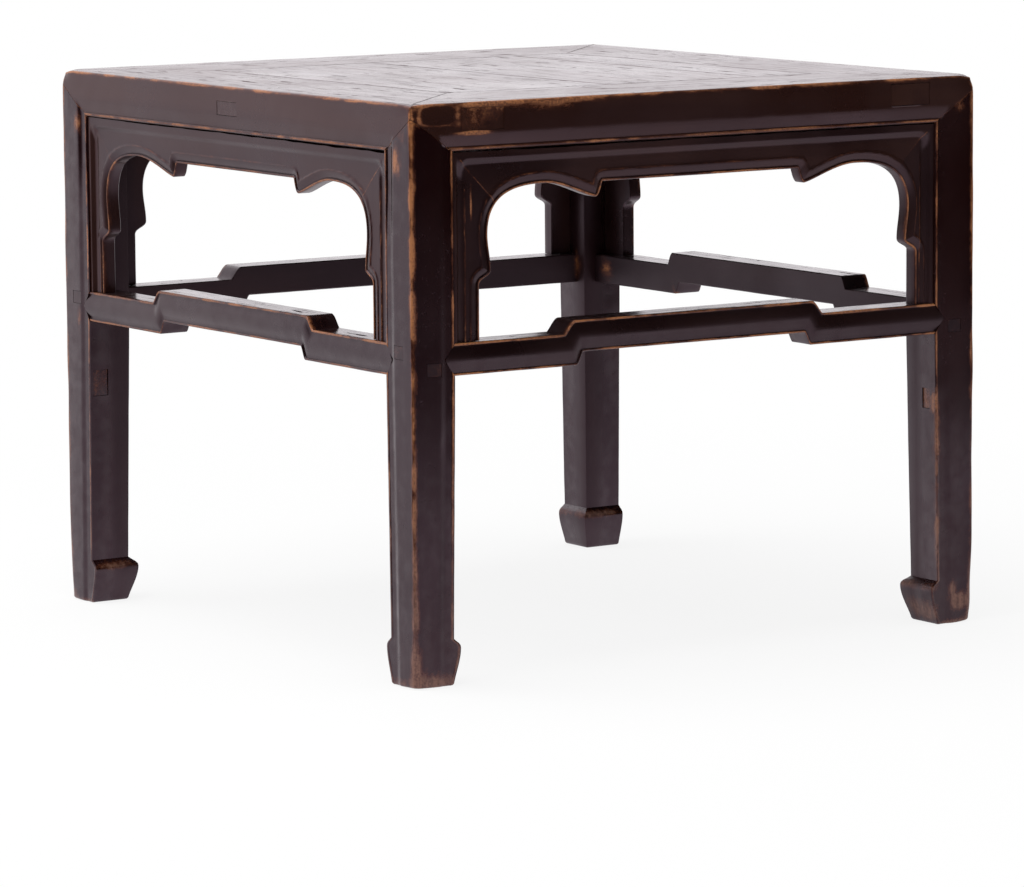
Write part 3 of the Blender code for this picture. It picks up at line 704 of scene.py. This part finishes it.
def build_aprons(length, eases, sag):
    """The left strip, apron and right strip of one side."""
    path, left_mitre, right_mitre = opening_path(length, eases)
    foot = path[0, 1]
    head = RAIL_FOOT - GAP
    along = path[left_mitre:right_mitre + 1, 0]
    start, end = along[0], along[-1]
    spread = LEG_SIZE + GAP + (along - start) * (length - 2 * LEG_SIZE - 2 * GAP) / (end - start)
    places = np.outer(spread, (1.0, 0.0, 0.0))
    uneven = 1.0 + 0.25 * wobble(places, 0.090, 2) + 0.20 * wobble(places, 0.021, 5)
    sunk = np.interp(spread, (0.0, length), sag) * uneven
    frame_points = np.column_stack((spread, head - sunk))
    back_points = np.column_stack((spread, np.full(len(spread), head)))
    apron = build_carving(path, left_mitre, right_mitre, frame_points, back_points, length)

    def strip(first, last, face, drop):
        levels = path[first:last + 1, 1] - foot
        share = levels / levels.max()
        lines = [np.column_stack((np.full(len(share), face), foot + share * (top - foot)))
                 for top in (head - drop, head)]
        return build_carving(path, first, last, *lines, length)

    left = strip(0, left_mitre, LEG_SIZE + GAP, sunk[0])
    right = strip(right_mitre, len(path) - 1, length - LEG_SIZE - GAP, sunk[-1])
    return left, apron, right


def half_hump(length, ease, run):
    """Pairs of places on the stretcher's upper and lower edge, from its left end to its middle."""
    start = HUMP_START + ease
    under = start + UNDER_SHIFT
    stops = [(LEG_SIZE - SHOULDER - 0.002,) * 2, (start, under), (start + run, under + UNDER_RUN),
             (length / 2, length / 2)]
    columns = [stops[0]]
    for (s0, u0), (s1, u1), steps in zip(stops[:-1], stops[1:], (40, 16, 24)):
        columns += list(zip(np.linspace(s0, s1, steps)[1:], np.linspace(u0, u1, steps)[1:]))
    return columns


def hump_levels(s, u, length, hump):
    """Heights of the stretcher's upper edge at s and of its lower edge at u."""
    left, right, run = hump
    over = np.where(s < length / 2, s - left, length - s - right) - HUMP_START
    under = np.where(u < length / 2, u - left, length - u - right) - HUMP_START - UNDER_SHIFT
    nose = np.sin(np.clip(over / run, 0.0, 1.0) * pi / 2)
    return (STRETCHER_TOP + HUMP_RISE * (0.65 * nose + 0.35 * ramp(0.0, run, over)),
            STRETCHER_FOOT + HUMP_RISE * ramp(0.0, UNDER_RUN, under))


def build_stretcher(length, upper, hump):
    """A humpback stretcher with a swelling face, beaded edges and pointed shoulders."""
    half_bead = STRETCHER_BEAD / 2
    bead = [(half_bead - half_bead * cos(t), STRETCHER_FRONT + half_bead - half_bead * sin(t))
            for t in np.linspace(0.0, pi, 7)]
    groove = STRETCHER_FRONT + half_bead
    rings = []
    left, right, run = hump
    columns = half_hump(length, left, run)
    columns += [(length - s, length - u) for s, u in reversed(half_hump(length, right, run)[:-1])]
    for s, u in columns:
        top, foot = (np.array(end) for end in zip((s, u), hump_levels(s, u, length, hump)))
        span = np.linalg.norm(foot - top)
        way = (foot - top) / span
        profile = list(bead)
        for t in np.linspace(0.0, 1.0, 13)[1:-1]:
            swell = STRETCHER_SWELL * (1.0 - (2.0 * t - 1.0) ** 2)
            offset = STRETCHER_BEAD + (span - 2 * STRETCHER_BEAD) * t
            profile.append((offset, groove + STRETCHER_SINK - swell))
        profile += [(span - offset, depth) for offset, depth in reversed(bead)]
        profile += [(span, b) for b in (0.010, 0.020, STRETCHER_BACK - EDGE_ROUND)]
        profile += [(offset, STRETCHER_BACK) for offset in (span - EDGE_ROUND, span / 2, EDGE_ROUND)]
        profile += [(0.0, b) for b in (STRETCHER_BACK - EDGE_ROUND, 0.024, 0.018, 0.012, 0.007)]
        offsets, depths = np.array(profile).T
        rings.append(at_depth(top + np.outer(offsets, way), depths))
    stretcher = loft(rings)
    tip, low_root, _, _, high_root = shoulder_outline(0.0)
    past = LEG_SIZE - SHOULDER - CUT_SLACK
    face = LEG_SIZE + GAP
    for root, slack in ((high_root, CUT_SLACK), (low_root, -CUT_SLACK)):
        level = root[1]
        outline = [tip, root, (face, level), (face, level + slack), (past, level + slack), (past, tip[1])]
        for turned in (outline, mirrored(outline, length)):
            combine(stretcher, "DIFFERENCE", prism(turned, -CUT_SLACK, STRETCHER_BACK + CUT_SLACK))
    combine(stretcher, "DIFFERENCE",
            *ends(length, (past, SHOULDER_DEPTH, STRETCHER_FOOT - CUT_SLACK),
                  (face, STRETCHER_BACK + CUT_SLACK, STRETCHER_TOP + CUT_SLACK)))
    low, high = TENON_UPPER if upper else TENON_LOWER
    combine(stretcher, "UNION", *ends(length, (GAP, STRETCHER_TENON[0], low),
                                      (LEG_SIZE + STRETCHER_ROOT, STRETCHER_TENON[1], high)))
    return stretcher


def line_wear(distance, width):
    """How likely lacquer is rubbed off near an edge."""
    return np.exp(-(distance / width) ** 2)


def leg_wear(p):
    """Wear on the leg's outer corner, beads, foot and hoof's lip, and on the plug of an old mortise."""
    a, b, z = p.T
    near, far = np.minimum(a, b), np.maximum(a, b)
    width = leg_width(z)
    corner = 1.05 * line_wear(np.hypot(a, b), 0.0020 + leg_corner(z))
    bead = BEAD_WEAR * line_wear(np.hypot(far - width + BEAD / 2, near - BEAD_DEPTH), 0.0015)
    foot = 0.9 * line_wear(z, 0.004) * (near < 0.004)
    mitre = MITRE_WEAR * line_wear(MITRE_TOP - MITRE_SLOPE * far - z, MITRE_REACH) * (near < FACE_SKIN)
    lip = LIP_WEAR * line_wear(z - HOOF_LIP_HEIGHT - 0.002, 0.0045) * (far > width - 0.001)
    plug = (np.abs(width - far - PLUG_SHY) < 0.7 * PLUG_SHY) & (np.abs(z - PLUG_LEVEL) < 0.020)
    plug &= (near > 0.004) & (near < 0.030)
    return np.maximum.reduce((corner, bead, foot, mitre, lip, PLUG_WEAR * plug))


def rail_wear(length, p):
    """Wear on the rail's arrises, bead and tenon ends, and grime in the seams of the top."""
    s, b, z = p.T
    near = np.minimum(s, length - s)
    arris = line_wear(np.hypot(b, HEIGHT - z), 0.0034)
    bead = BEAD_WEAR * line_wear(np.hypot(b - BEAD_DEPTH, z - RAIL_FOOT - BEAD / 2), 0.0016)
    corner = line_wear(np.hypot(near, b), 0.0040)
    mitre = MITRE_WEAR * line_wear(MITRE_TOP - MITRE_SLOPE * near - z, MITRE_REACH) * (b < FACE_SKIN)
    tenon_end = RAIL_TENON_WEAR * (near < 2 * GAP) * (b > LEG_SIZE)
    seam = line_wear(np.minimum(RAIL_WIDTH - b, np.abs(near - b)), SEAM_REACH)
    seam *= (z > HEIGHT - TOP_SKIN) & (b > 0.006)
    return np.maximum.reduce((arris, bead, corner, mitre, tenon_end)) - SEAM_GRIME * seam


def stretcher_wear(length, tread, hump, p):
    """Wear on the stretcher's beads, and on its top where feet rest."""
    s, b, z = p.T
    top, foot = hump_levels(s, s, length, hump)
    upper = line_wear(np.hypot(b - STRETCHER_FRONT, top - z - 0.0008), 0.0020)
    lower = 0.8 * line_wear(np.hypot(b - STRETCHER_FRONT, z - foot - 0.0010), 0.0015)
    flat = tread * line_wear(top - z, 0.0008) * (0.5 + 0.5 * line_wear(b, 0.014))
    tenon_end = STRETCHER_TENON_WEAR * (np.minimum(s, length - s) < 2 * GAP)
    return np.maximum.reduce((upper, lower, flat, tenon_end))


def carving_wear(length, eases, p):
    """Wear along the cusped edge's bead, the rim's crest and the mitres of apron and strips."""
    s, b, z = p.T
    gap = distance_to(opening_path(length, eases)[0], p[:, [0, 2]])
    front = np.clip((0.0095 - b) / 0.002, 0.0, 1.0)
    along = np.minimum(s, length - s) - LEG_SIZE
    down = RAIL_FOOT - z
    past_rim = gap > RIM[0]
    mitre = 0.70 * line_wear(along - down, 0.0010) * (np.minimum(along, down) > BORDER[0]) * past_rim
    crest = 0.50 * line_wear(gap - RIM[1], 0.0010)
    ridge = 0.65 * line_wear(along - HOLLOW[1], 0.0009) * (down > BORDER_TURN + HOLLOW_START) * past_rim
    edge = 0.85 * line_wear(gap - 0.0010, 0.0012)
    return np.maximum.reduce((edge, crest, mitre, ridge)) * front


def board_wear(left, right, p):
    """Grime in the seams round a board."""
    x, y, z = p.T
    edge = np.minimum.reduce((x - left, right - x, DEPTH / 2 - RAIL_WIDTH - np.abs(y)))
    return -SEAM_GRIME * line_wear(edge, SEAM_REACH) * (z > HEIGHT - TOP_SKIN)


def no_wear(p):
    """The batten is out of reach under the panel."""
    return np.zeros(len(p))


def add_worn_places(placed, wear):
    """Wear with the rubbed and knocked places added, and how far their wood has gone inward."""
    gone = np.zeros_like(placed)
    for centre, reach, bare, depth in WORN_PLACES:
        fall = line_wear(np.linalg.norm((placed - centre) / reach, axis=1), 1.0)
        wear = np.maximum(wear, bare * fall)
        inward = np.array([-np.sign(centre[0]), -np.sign(centre[1]), np.sign(HEIGHT / 2 - centre[2])])
        gone += depth * fall[:, None] * inward / np.linalg.norm(inward)
    away = np.abs((placed - KEPT_PATCH[0]) / KEPT_PATCH[1])
    reach = np.sum(away ** 4, axis=1) ** 0.25
    wear = np.maximum(wear, 0.85 * line_wear(reach - 1.2, 0.20))
    return wear * ramp(0.88, 1.08, reach), gone


def show(node, shape, turn, material, grain, wear, uneven=UNEVEN):
    """Put a finished shape in its place as the looks of one CAD node."""
    mesh = shape.data
    mesh.name = node + "_look"
    count = len(mesh.vertices)
    local = np.empty(count * 3)
    mesh.vertices.foreach_get("co", local)
    local = local.reshape(-1, 3)
    place = side_matrix(turn) if turn is not None else Matrix.Identity(4)
    turned = np.array(place)
    placed = local @ turned[:3, :3].T + turned[:3, 3]
    rubbed, gone = add_worn_places(placed, wear(local))
    worn = mesh.attributes.new("wear", "FLOAT", "POINT")
    worn.data.foreach_set("value", rubbed.astype(np.float32))
    along = mesh.attributes.new("grain", "FLOAT_VECTOR", "POINT")
    order = {"s": (0, 1, 2), "b": (1, 0, 2), "z": (2, 0, 1)}[grain]
    seed = sum(ord(letter) for letter in node) % 97
    along.data.foreach_set("vector", (local[:, order] + seed * 0.173).astype(np.float32).ravel())
    mesh.shade_smooth()
    mesh.transform(place)
    mesh.set_sharp_from_angle(angle=radians(SHARP_ANGLE))
    normals = np.empty(count * 3)
    mesh.vertex_normals.foreach_get("vector", normals)
    shift = uneven * (wobble(placed, 0.085, seed % 11) + 0.6 * wobble(placed, 0.030, seed % 7))
    moved = placed + normals.reshape(-1, 3) * shift[:, None] + gone
    moved = np.clip(moved, np.array(CAD_LOW) + INSIDE_CAD, np.array(CAD_HIGH) - INSIDE_CAD)
    mesh.vertices.foreach_set("co", moved.ravel())
    mesh.update()
    mesh.materials.clear()
    mesh.materials.append(material)
    shape.name = node + "_look"
    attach(shape, "root")
    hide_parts(node)


class Graph:
    """Short ways to add and join shader nodes."""

    def __init__(self, tree):
        self.tree = tree
        tree.nodes.clear()

    def add(self, kind, settings=None, **inputs):
        node = self.tree.nodes.new("ShaderNode" + kind)
        for key, value in (settings or {}).items():
            setattr(node, key, value)
        for key, value in inputs.items():
            self.put(node, key, value)
        return node

    def put(self, node, key, value):
        numbered = key[0] == "i" and key[1:].isdigit()
        socket = node.inputs[int(key[1:]) if numbered else key.replace("_", " ")]
        if isinstance(value, bpy.types.NodeSocket):
            self.tree.links.new(value, socket)
        else:
            socket.default_value = value

    def attribute(self, name, output):
        return self.add("Attribute", {"attribute_name": name}).outputs[output]

    def split(self, vector):
        return self.add("SeparateXYZ", Vector=vector).outputs

    def noise(self, vector, scale, detail, rough):
        node = self.add("TexNoise", Vector=vector, Scale=scale, Detail=detail, Roughness=rough)
        return node.outputs["Fac"]

    def streaks(self, grain, along, across, detail, rough):
        drawn = self.add("Mapping", Vector=grain, Scale=(along, across, across)).outputs[0]
        return self.noise(drawn, 1.0, detail, rough)

    def range(self, value, low, high, to_low=0.0, to_high=1.0):
        return self.add("MapRange", {"interpolation_type": "SMOOTHSTEP"}, Value=value,
                        i1=low, i2=high, i3=to_low, i4=to_high).outputs[0]

    def math(self, operation, first, second):
        return self.add("Math", {"operation": operation}, i0=first, i1=second).outputs[0]

    def times(self, first, second):
        return self.math("MULTIPLY", first, second)

    def total(self, *terms):
        """The sum of values, each times its weight."""
        parts = [value if weight == 1.0 else self.times(value, weight) for value, weight in terms]
        result = parts[0]
        for part in parts[1:]:
            result = self.math("ADD", result, part)
        return result

    def blend(self, factor, first, second):
        return self.add("Mix", {"data_type": "RGBA"}, i0=factor, i6=first, i7=second).outputs[2]

    def mix_shader(self, factor, first, second):
        return self.add("MixShader", i0=factor, i1=first.outputs[0], i2=second.outputs[0])


def new_material(name):
    """A material and its empty graph."""
    material = bpy.data.materials.new(name)
    material.use_nodes = True
    return material, Graph(material.node_tree)


def lacquer(name, dark, warm, rough=(0.24, 0.38), streaks=0.35, polish=0.24, shine=0.85):
    """Dark lacquer with grain telegraphing through, rubbed to bare wood on the edges."""
    material, graph = new_material(name)
    grain = graph.attribute("grain", "Vector")
    wear = graph.attribute("wear", "Fac")
    place = graph.add("TexCoord").outputs["Object"]
    facing = graph.split(graph.add("NewGeometry").outputs["Normal"])["Z"]
    flat_top = graph.range(facing, 0.50, 0.95)
    axes = graph.split(place)
    outward = graph.math("MAXIMUM", *(graph.math("ABSOLUTE", axes[axis], 0.0) for axis in "XY"))
    inside = graph.math("SUBTRACT", graph.range(outward, 0.268, 0.284, 1.0, 0.0), flat_top)
    inside = graph.math("MAXIMUM", inside, 0.0)
    low = graph.range(axes["Z"], 0.02, 0.30, 1.0, 0.0)
    fine = graph.streaks(grain, 9.0, 260.0, 4.0, 0.6)
    broad = graph.streaks(grain, 2.2, 26.0, 3.0, 0.5)
    pores = graph.streaks(grain, 14.0, 520.0, 3.0, 0.6)
    ragged = graph.streaks(grain, 80.0, 190.0, 3.0, 0.65)
    cracks = graph.streaks(grain, 22.0, 150.0, 2.0, 0.5)
    cloud = graph.noise(place, 9.0, 3.0, 0.5)
    spell = graph.noise(place, 26.0, 2.0, 0.5)
    chips = graph.noise(place, 520.0, 3.0, 0.6)
    dents = graph.noise(place, 95.0, 2.0, 0.5)
    scuffs = graph.range(graph.noise(place, 170.0, 5.0, 0.7), 0.58, 0.72)

    tone = graph.total((broad, 0.6), (cloud, 0.4))
    lacquered = graph.blend(graph.range(tone, 0.38, 0.66), dark, warm)
    lacquered = graph.blend(graph.range(fine, 0.60, 0.78, 0.0, streaks), lacquered, STREAK)
    rub = graph.times(wear, graph.range(spell, 0.36, 0.62, 0.60, 1.12))
    rub = graph.total((rub, 1.0), (graph.math("SUBTRACT", ragged, 0.5), 0.85),
                      (graph.math("SUBTRACT", chips, 0.5), 0.55))
    thin = graph.range(rub, 0.24, 0.56)
    bare = graph.range(rub, 0.48, 0.84)
    wood_tone = graph.total((fine, 0.5), (chips, 0.5))
    pale, deep = (graph.blend(low, *pair) for pair in (PALE_WOOD, DEEP_WOOD))
    wood = graph.blend(graph.range(wood_tone, 0.42, 0.60), pale, deep)
    mixed = graph.blend(thin, lacquered, THIN_LACQUER)
    mixed = graph.blend(bare, mixed, wood)
    grime = graph.range(wear, -0.15, -0.75)
    mixed = graph.blend(grime, mixed, GRIME)

    open_grain = graph.times(graph.range(pores, 0.52, 0.70), flat_top)
    open_grain = graph.math("MAXIMUM", open_grain, graph.times(graph.range(dents, 0.68, 0.76), flat_top))
    cracks = graph.times(graph.range(cracks, 0.665, 0.700), flat_top)
    dull = graph.math("MAXIMUM", graph.times(open_grain, 0.75), graph.math("MAXIMUM", grime, cracks))
    gloss = graph.range(cloud, 0.30, 0.70, *rough)
    gloss = graph.total((gloss, 1.0), (bare, 0.10), (scuffs, 0.08), (dull, 0.70), (inside, 0.20))
    relief = graph.total((fine, 0.35), (broad, 0.25), (bare, -0.30), (scuffs, -0.25), (dull, -0.20))
    bump = graph.add("Bump", Strength=0.28, Distance=0.0006, Height=relief).outputs[0]
    patchy = graph.total((broad, 0.6), (dents, 0.4))
    coat = graph.range(flat_top, 0.0, 1.0, graph.range(patchy, 0.36, 0.64, 0.0, polish), shine)
    for mask, kept in ((bare, 0.7), (inside, 0.2), (dull, 0.0)):
        coat = graph.times(coat, graph.range(mask, 0.0, 1.0, 1.0, kept))
    shader = graph.add("BsdfPrincipled", Base_Color=mixed, Roughness=gloss, Normal=bump, IOR=1.5,
                       Specular_IOR_Level=SPECULAR, Specular_Tint=SHEEN,
                       Coat_Weight=coat, Coat_Roughness=0.16)
    graph.add("OutputMaterial", Surface=shader.outputs[0])
    return material


def bare_wood(name):
    """Unlacquered wood on the underside, with lacquer over the ends that show."""
    material, graph = new_material(name)
    grain = graph.attribute("grain", "Vector")
    fine = graph.streaks(grain, 8.0, 220.0, 4.0, 0.6)
    broad = graph.streaks(grain, 2.0, 30.0, 3.0, 0.5)
    tone = graph.blend(graph.range(broad, 0.35, 0.65), (0.11, 0.058, 0.030, 1.0), (0.055, 0.027, 0.015, 1.0))
    tone = graph.blend(graph.range(fine, 0.50, 0.75, 0.0, 0.6), tone, (0.022, 0.010, 0.006, 1.0))
    across = graph.split(graph.add("TexCoord").outputs["Object"])["X"]
    outside = graph.range(graph.math("ABSOLUTE", across, 0.0), WIDTH / 2 - 0.004, WIDTH / 2 - 0.002)
    tone = graph.blend(outside, tone, (0.028, 0.0085, 0.0046, 1.0))
    matt, glossy = (graph.range(fine, 0.3, 0.7, *rough) for rough in ((0.55, 0.75), (0.24, 0.38)))
    bump = graph.add("Bump", Strength=0.4, Distance=0.0006, Height=fine).outputs[0]
    shader = graph.add("BsdfPrincipled", Base_Color=tone, Roughness=graph.blend(outside, matt, glossy),
                       Normal=bump, Specular_IOR_Level=SPECULAR, Specular_Tint=SHEEN,
                       Coat_Weight=graph.times(outside, 0.12))
    graph.add("OutputMaterial", Surface=shader.outputs[0])
    return material


def build_looks():
    """Every piece of the table, each in place of its CAD node."""
    leg = lacquer("leg_lacquer", (0.0080, 0.0012, 0.0012, 1.0), (0.016, 0.0040, 0.0030, 1.0),
                  rough=(0.16, 0.28), polish=0.45)
    rail = lacquer("rail_lacquer", (0.021, 0.0058, 0.0030, 1.0), (0.037, 0.0125, 0.0060, 1.0),
                   polish=0.03, shine=0.73)
    board = lacquer("board_lacquer", (0.018, 0.0065, 0.0048, 1.0), (0.040, 0.016, 0.010, 1.0),
                    rough=(0.22, 0.42), streaks=0.5)
    apron = lacquer("apron_lacquer", (0.011, 0.0031, 0.0024, 1.0), (0.030, 0.010, 0.0058, 1.0), polish=0.03)
    stretcher = lacquer("stretcher_lacquer", (0.0080, 0.0025, 0.0024, 1.0), (0.017, 0.0060, 0.0046, 1.0))
    batten = bare_wood("batten_wood")

    for index, (side, left, right, turn) in enumerate(SIDES):
        long_side = side in ("front", "back")
        length = WIDTH if long_side else DEPTH
        corner = "leg_%s_%s" % ((side, left) if long_side else (left, side))
        shape = build_leg(index + 1, long_side)
        if corner in OLD_MORTISES:
            plug_mortise(shape, *OLD_MORTISES[corner])
        show(corner, shape, turn, leg, "z", leg_wear)
        shape = build_rail(length, long_side)
        show("top_rail_" + side, shape, turn, rail, "s", partial(rail_wear, length))
        tread = LEFT_TREAD_WEAR if side == "left" else TREAD_WEAR
        hump = HUMPS.get(side, EVEN_HUMP)
        shape = build_stretcher(length, long_side, hump)
        wear = partial(stretcher_wear, length, tread, hump)
        show("stretcher_" + side, shape, turn, stretcher, "s", wear)
        ease = STRIP_EASE.get(side, EVEN_STRIPS)
        left_strip, middle, right_strip = build_aprons(length, ease, APRON_SAGS.get(side, EVEN_SAG))
        wear = partial(carving_wear, length, ease)
        for node, shape, grain in (("apron_" + side, middle, "s"),
                                   ("apron_strip_%s_%s" % (side, left), left_strip, "z"),
                                   ("apron_strip_%s_%s" % (side, right), right_strip, "z")):
            show(node, shape, turn, apron, grain, wear, CARVED_UNEVEN)

    reach = WIDTH / 2 - RAIL_WIDTH - GAP
    edges = (-reach, *SEAMS, reach)
    for name, left, right in zip(("left", "middle", "right"), edges[:-1], edges[1:]):
        shape = build_board(left + GAP, right - GAP)
        wear = partial(board_wear, left, right)
        show("top_board_" + name, shape, None, board, "b", wear, BOARD_UNEVEN)
    show("panel_batten", build_batten(), None, batten, "s", no_wear)


def place_camera():
    """A long lens from the near corner, a little above the top."""
    yaw, pitch, roll = (radians(angle) for angle in CAMERA_TURN)
    turn = Matrix.Rotation(yaw, 4, "Z") @ Matrix.Rotation(pi / 2 - pitch, 4, "X")
    turn = turn @ Matrix.Rotation(roll, 4, "Z")
    data = bpy.data.cameras.new("camera")
    data.sensor_width = SENSOR
    data.lens = CAMERA_LENS
    camera = new_object("camera", data)
    middle = Matrix.Translation((0.0, 0.0, HEIGHT / 2))
    camera.matrix_world = middle @ turn @ Matrix.Translation((*CAMERA_AIM, CAMERA_DISTANCE))
    bpy.context.scene.camera = camera


def build_floor():
    """A pale floor that fades into the white background and keeps the table's shadow; in reflections it
    glows with a painted pool of light.
    """
    mesh = bpy.data.meshes.new("floor")
    built = bmesh.new()
    bmesh.ops.create_circle(built, cap_ends=True, segments=96, radius=FLOOR_RADIUS)
    built.to_mesh(mesh)
    built.free()
    floor = new_object("floor", mesh)
    floor.location.z = -FLOOR_DROP
    material, graph = new_material("floor")
    place = graph.add("TexCoord").outputs["Object"]
    distance = graph.add("VectorMath", {"operation": "LENGTH"}, i0=place).outputs["Value"]
    light = graph.add("LightPath").outputs
    pale = graph.add("BsdfDiffuse", Color=(0.86, 0.86, 0.86, 1.0))
    white = graph.add("Emission", Color=WHITE, Strength=1.0)
    seen = graph.mix_shader(graph.range(distance, 0.4, 1.5, 0.14, 0.0), white, pale)
    # Painted pool of light, seen only in reflections: the floor glows behind and left of the table and round
    # a spot at its front right, and goes dark more than about 1.3 m from that spot.
    axes = graph.split(place)
    leftward = graph.times(graph.math("MINIMUM", axes["X"], 0.0), 0.55)
    behind = graph.range(graph.math("ADD", axes["Y"], leftward), -0.45, -0.05, 0.0, 0.95)
    near = graph.add("VectorMath", {"operation": "DISTANCE"}, i0=place, i1=(0.5, -0.3, 0.0)).outputs["Value"]
    close = graph.range(near, 0.50, 0.78, 0.66, 0.95)
    close = graph.times(close, graph.range(near, 1.08, 1.30, 1.0, 0.01))
    painted_pool_colour = graph.blend(graph.math("MAXIMUM", behind, close), (0.0, 0.0, 0.0, 1.0), REFLECTED_WHITE)
    painted_pool_glow = graph.add("Emission", Color=painted_pool_colour, Strength=1.0)
    other = graph.mix_shader(light["Is Glossy Ray"], pale, painted_pool_glow)
    final = graph.mix_shader(light["Is Camera Ray"], other, seen)
    graph.add("OutputMaterial", Surface=final.outputs[0])
    mesh.materials.append(material)


def light_studio():
    """White backdrop behind the table, dark room on the camera's side, one soft light above."""
    world = bpy.data.worlds.new("studio")
    bpy.context.scene.world = world
    world.use_nodes = True
    graph = Graph(world.node_tree)
    way = graph.add("TexCoord").outputs["Generated"]
    light = graph.add("LightPath").outputs
    ahead = graph.range(graph.split(way)["Y"], 0.22, 0.66)
    room = graph.blend(ahead, (0.010, 0.010, 0.010, 1.0), REFLECTED_WHITE)
    direct = graph.math("MAXIMUM", light["Is Camera Ray"], light["Is Transmission Ray"])
    shown = graph.blend(direct, (0.62, 0.62, 0.62, 1.0), WHITE)
    shown = graph.blend(light["Is Glossy Ray"], shown, room)
    background = graph.add("Background", Color=shown, Strength=1.0)
    graph.add("OutputWorld", Surface=background.outputs[0])

    data = bpy.data.lights.new("soft_light", "AREA")
    data.size = LAMP_SIZE
    data.energy = LAMP_POWER
    lamp = new_object("soft_light", data)
    lamp.location = LAMP_PLACE
    lamp.rotation_euler = (Vector(LAMP_AIM) - lamp.location).to_track_quat("-Z", "Y").to_euler()


bpy.context.scene.view_settings.view_transform = "Standard"
build_looks()
build_floor()
light_studio()
place_camera()
